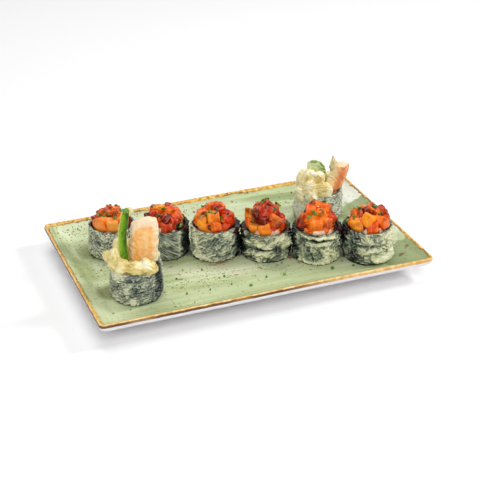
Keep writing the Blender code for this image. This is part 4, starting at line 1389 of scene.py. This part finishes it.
# What each strip looks like: tones across it from -X to +X, mottling on its crests, its tip (with how far
# the tip's tone comes down at the sides), its foot in the batter, and how fine its grit is.
stripTones = {
    "end_1_salmon": {
        "name": "peachSalmon", "grit": 360,
        "across": (
            (0.05, (251, 232, 196)), (0.14, (251, 222, 172)), (0.23, (249, 180, 94)),
            (0.36, (251, 198, 130)), (0.58, (252, 206, 142)), (0.72, (250, 188, 112)),
            (0.83, (250, 220, 168)), (0.96, (251, 234, 202)),
        ),
        "mottle": (247, 162, 76), "mottleAt": (0.42, 0.16, 0.45),
        "tip": (251, 224, 190), "tipAt": (0.87, 0.96, 0.14),
        "foot": (240, 214, 130), "footAt": (0.30, 0.38),
    },
    "end_1_avocado": {
        "name": "greenAvocado", "grit": 620,
        # the pale yellow-green at its left edge is painted highlight
        "across": (
            (0.04, (216, 214, 110)), (0.15, (146, 182, 34)), (0.40, (110, 154, 10)),
            (0.66, (80, 126, 6)), (0.86, (48, 94, 4)), (0.97, (146, 152, 50)),
        ),
        "mottle": (34, 82, 6), "mottleAt": (0.46, 0.18, 0.6),
        "tip": (120, 156, 60), "tipAt": (0.97, 1.0, 0.0),
        "foot": (140, 138, 30), "footAt": (0.30, 0.50),
    },
    "end_2_salmon": {
        "name": "halfFriedSalmon", "grit": 360,
        "across": (
            (0.10, (238, 224, 166)), (0.44, (244, 222, 174)), (0.60, (248, 204, 146)),
            (0.72, (240, 152, 92)), (0.92, (230, 134, 78)), (0.99, (244, 176, 128)),
        ),
        "mottle": (238, 140, 76), "mottleAt": (0.40, 0.16, 0.3),
        "tip": (248, 218, 180), "tipAt": (0.93, 0.99, 0.0),
        "foot": (240, 214, 150), "footAt": (0.2, 0.3),
    },
    "end_2_avocado": {
        "name": "friedAvocado", "grit": 360,
        "across": (
            (0.06, (222, 222, 172)), (0.30, (200, 208, 154)), (0.60, (184, 198, 138)),
            (0.80, (150, 176, 96)), (0.90, (100, 142, 50)), (0.97, (82, 128, 38)),
        ),
        "mottle": (228, 228, 190), "mottleAt": (0.42, 0.62, 0.6),
        "tip": (136, 164, 84), "tipAt": (0.98, 0.995, 0.0),
        "foot": (226, 220, 150), "footAt": (0.2, 0.3),
    },
}

batterLook = lookBatter()
for roll in endRolls:
    place = rollPlacing(roll)
    seat(modelBatter(roll), batterLook, [roll["name"] + "_batter"], place)
    for kind, slotName in (("salmon", "salmon_strip"), ("avocado", "avocado")):
        name = roll["name"] + "_" + kind
        seat(modelStrip(roll, name), lookStrip(stripTones[name]), [name], place)
print("end pieces modelled")


# Chopped chives: short rings of the hollow leaf, on the heaps and in the well, where they are strewn at
# (x, y in mm, turn, size).
chive = {
    "radius": 0.00092,
    "wall": 0.0003,
    "long": 0.0013,
    "sides": 10,
    "edge": 0.00006,
    "reach": 0.015,
    "scatter": 0.0018,
    "lift": 0.0006,
    "strewn": (
        (-58.0, -26.5, 10, 0.85), (-49.0, -15.5, 70, 0.9), (-35.0, -20.5, 30, 0.8),
        (-22.5, -36.5, 120, 0.9), (-21.5, -49.5, 50, 0.85), (-8.5, -56.5, 15, 1.15),
        (-39.5, -51.0, 95, 0.75), (-58.0, -50.0, 150, 0.85), (7.5, -49.0, 40, 0.9),
        (22.0, -50.5, 80, 1.4), (60.5, -55.5, 110, 1.2), (77.5, -58.0, 30, 1.1),
        (72.0, 6.0, 60, 0.9), (-96.0, 10.0, 0, 0.9),
    ),
}


def chiveRing():
    deselect()
    bpy.ops.mesh.primitive_cylinder_add(
        vertices=chive["sides"], radius=chive["radius"], depth=chive["long"], end_fill_type="NOTHING"
    )
    ring = nameLast("chiveRing")
    applyModifier(ring, "SOLIDIFY", thickness=chive["wall"], offset=-1)
    openMesh(ring, "EDGE")
    bpy.ops.mesh.select_all(action="SELECT")
    bpy.ops.mesh.bevel(offset=chive["edge"], segments=1, affect="EDGES")
    closeMesh()
    return ring


def placeChive(ring, place, size, shade):
    copy = copyOf(ring)
    copy.data.transform(place @ Matrix.Diagonal((size * 1.15, size * 0.8, size, 1)))
    keepShade(copy, "leafShade", [shade] * len(copy.data.vertices))
    return copy


def lookChive():
    look = newLook("choppedChive", Roughness=0.35, Coat_Weight=0.3, Coat_Roughness=0.15)
    veins = grainOf(look, 1800, 2, 0.5)
    mixed = plus(look, readShade(look, "leafShade"), swing(look, veins, 0.4))
    colour = rampOf(look, mixed, (
        (0.1, paint(22, 72, 10)),
        (0.5, paint(58, 130, 20)),
        (0.9, paint(130, 182, 56)),
    ))
    feed(look, colour, "Base Color")
    bumpOf(look, veins, 0.3, 0.0002)
    return look


def chivesOnHeap(roll, ring, draw):
    # small groups at the listed places in front and at random ones behind
    placing = rollPlacing(roll)
    mesh = heaps[roll["name"]].data
    surface = BVHTree.FromPolygons(
        [vert.co.copy() for vert in mesh.vertices], [tuple(face.vertices) for face in mesh.polygons]
    )
    spots = list(roll["chives"]) + [(draw.uniform(-9, 9), draw.uniform(1.25, 1.85)) for _ in range(5)]
    laid = []
    for along, climb in spots:
        start, outward = onHeap(roll, along / 1000, climb, chive["reach"])
        inward = -(placing.to_3x3() @ outward)
        hit = surface.ray_cast(placing @ start, inward, chive["reach"] + 0.005)[0]
        if hit is None:
            continue
        for _ in range(draw.choice((2, 3, 4))):
            shift = Vector([draw.uniform(-chive["scatter"], chive["scatter"]) for _ in range(3)])
            shift -= inward * (shift.dot(inward) * 0.8)
            turned = Euler([draw.uniform(0, math.pi) for _ in range(3)]).to_matrix().to_4x4()
            place = Matrix.Translation(hit + shift - inward * chive["lift"]) @ turned
            laid.append(placeChive(ring, place, draw.uniform(0.8, 1.15), draw.uniform(0.1, 0.9)))
    return laid


def layChives():
    ring = chiveRing()
    draw = random.Random(5)
    onFood = []
    for roll in toppedRolls:
        onFood += chivesOnHeap(roll, ring, draw)
    onPlate = []
    for x, y, turn, size in chive["strewn"]:
        tilt = Euler((math.pi / 2, draw.uniform(0, math.pi), math.radians(turn))).to_matrix().to_4x4()
        spot = Matrix.Translation((x / 1000, y / 1000, plate["wellFloor"] + chive["radius"] * 0.7))
        onPlate.append(placeChive(ring, spot @ tilt, size, draw.uniform(0.3, 0.9)))
    bpy.data.objects.remove(ring)
    look = lookChive()
    seat(joinPieces(onFood, "chivesOnTartare"), look, [])
    seat(joinPieces(onPlate, "chivesOnPlate"), look, ["plate"])


layChives()
print("chives laid")


# Camera, lights and floor
view = {
    "azimuth": -21.753, "elevation": 28.4535, "distance": 0.9822, "lens": 92.3,
    "aim": (0.0047, -0.0009, 0.0190),
}
studio = {
    "lamps": {
        "key": {"place": (0.95, -0.1, 0.8), "size": 0.28, "power": 5.8},
        "front": {"place": (-0.35, -0.95, 0.85), "size": 1.1, "power": 8.8},
        "back": {"place": (0.0, 0.7, 1.5), "size": 1.3, "power": 11.8},
    },
    "air": 0.31,
    "floor": 6,
    "floorDrop": 0.0002,
}


def addCamera():
    turn, rise = math.radians(view["azimuth"]), math.radians(view["elevation"])
    back = Vector((math.sin(turn) * math.cos(rise), -math.cos(turn) * math.cos(rise), math.sin(rise)))
    deselect()
    bpy.ops.object.camera_add(
        location=Vector(view["aim"]) + back * view["distance"],
        rotation=(-back).to_track_quat("-Z", "Y").to_euler(),
    )
    camera = bpy.context.object
    camera.name = "photoCamera"
    camera.data.lens = view["lens"]
    camera.data.sensor_width = 36
    camera.data.clip_start = 0.01
    bpy.context.scene.camera = camera


def addLights():
    for name, setting in studio["lamps"].items():
        place = Vector(setting["place"])
        bpy.ops.object.light_add(
            type="AREA", location=place, rotation=(-place).to_track_quat("-Z", "Y").to_euler()
        )
        lamp = bpy.context.object
        lamp.name = name + "Light"
        lamp.data.shape = "DISK"
        lamp.data.size = setting["size"]
        lamp.data.energy = setting["power"]
    world = bpy.data.worlds.new("paleStudio")
    world.use_nodes = True
    sky = world.node_tree.nodes["Background"].inputs
    sky["Color"].default_value = (1, 1, 1, 1)
    sky["Strength"].default_value = studio["air"]
    bpy.context.scene.world = world
    bpy.context.scene.view_settings.view_transform = "Standard"


def addFloor():
    deselect()
    bpy.ops.mesh.primitive_plane_add(size=studio["floor"], location=(0, 0, -studio["floorDrop"]))
    floor = nameLast("studioFloor")
    look = newLook("whitePaper", Roughness=0.8, Specular_IOR_Level=0.1)
    fibre = grainOf(look, 900, 2, 0.5)
    pale = rampOf(look, fibre, ((0.3, (0.95, 0.95, 0.95, 1)), (0.7, (0.98, 0.98, 0.98, 1))))
    feed(look, pale, "Base Color")
    floor.data.materials.append(look)


addCamera()
addLights()
addFloor()
print("studio set")
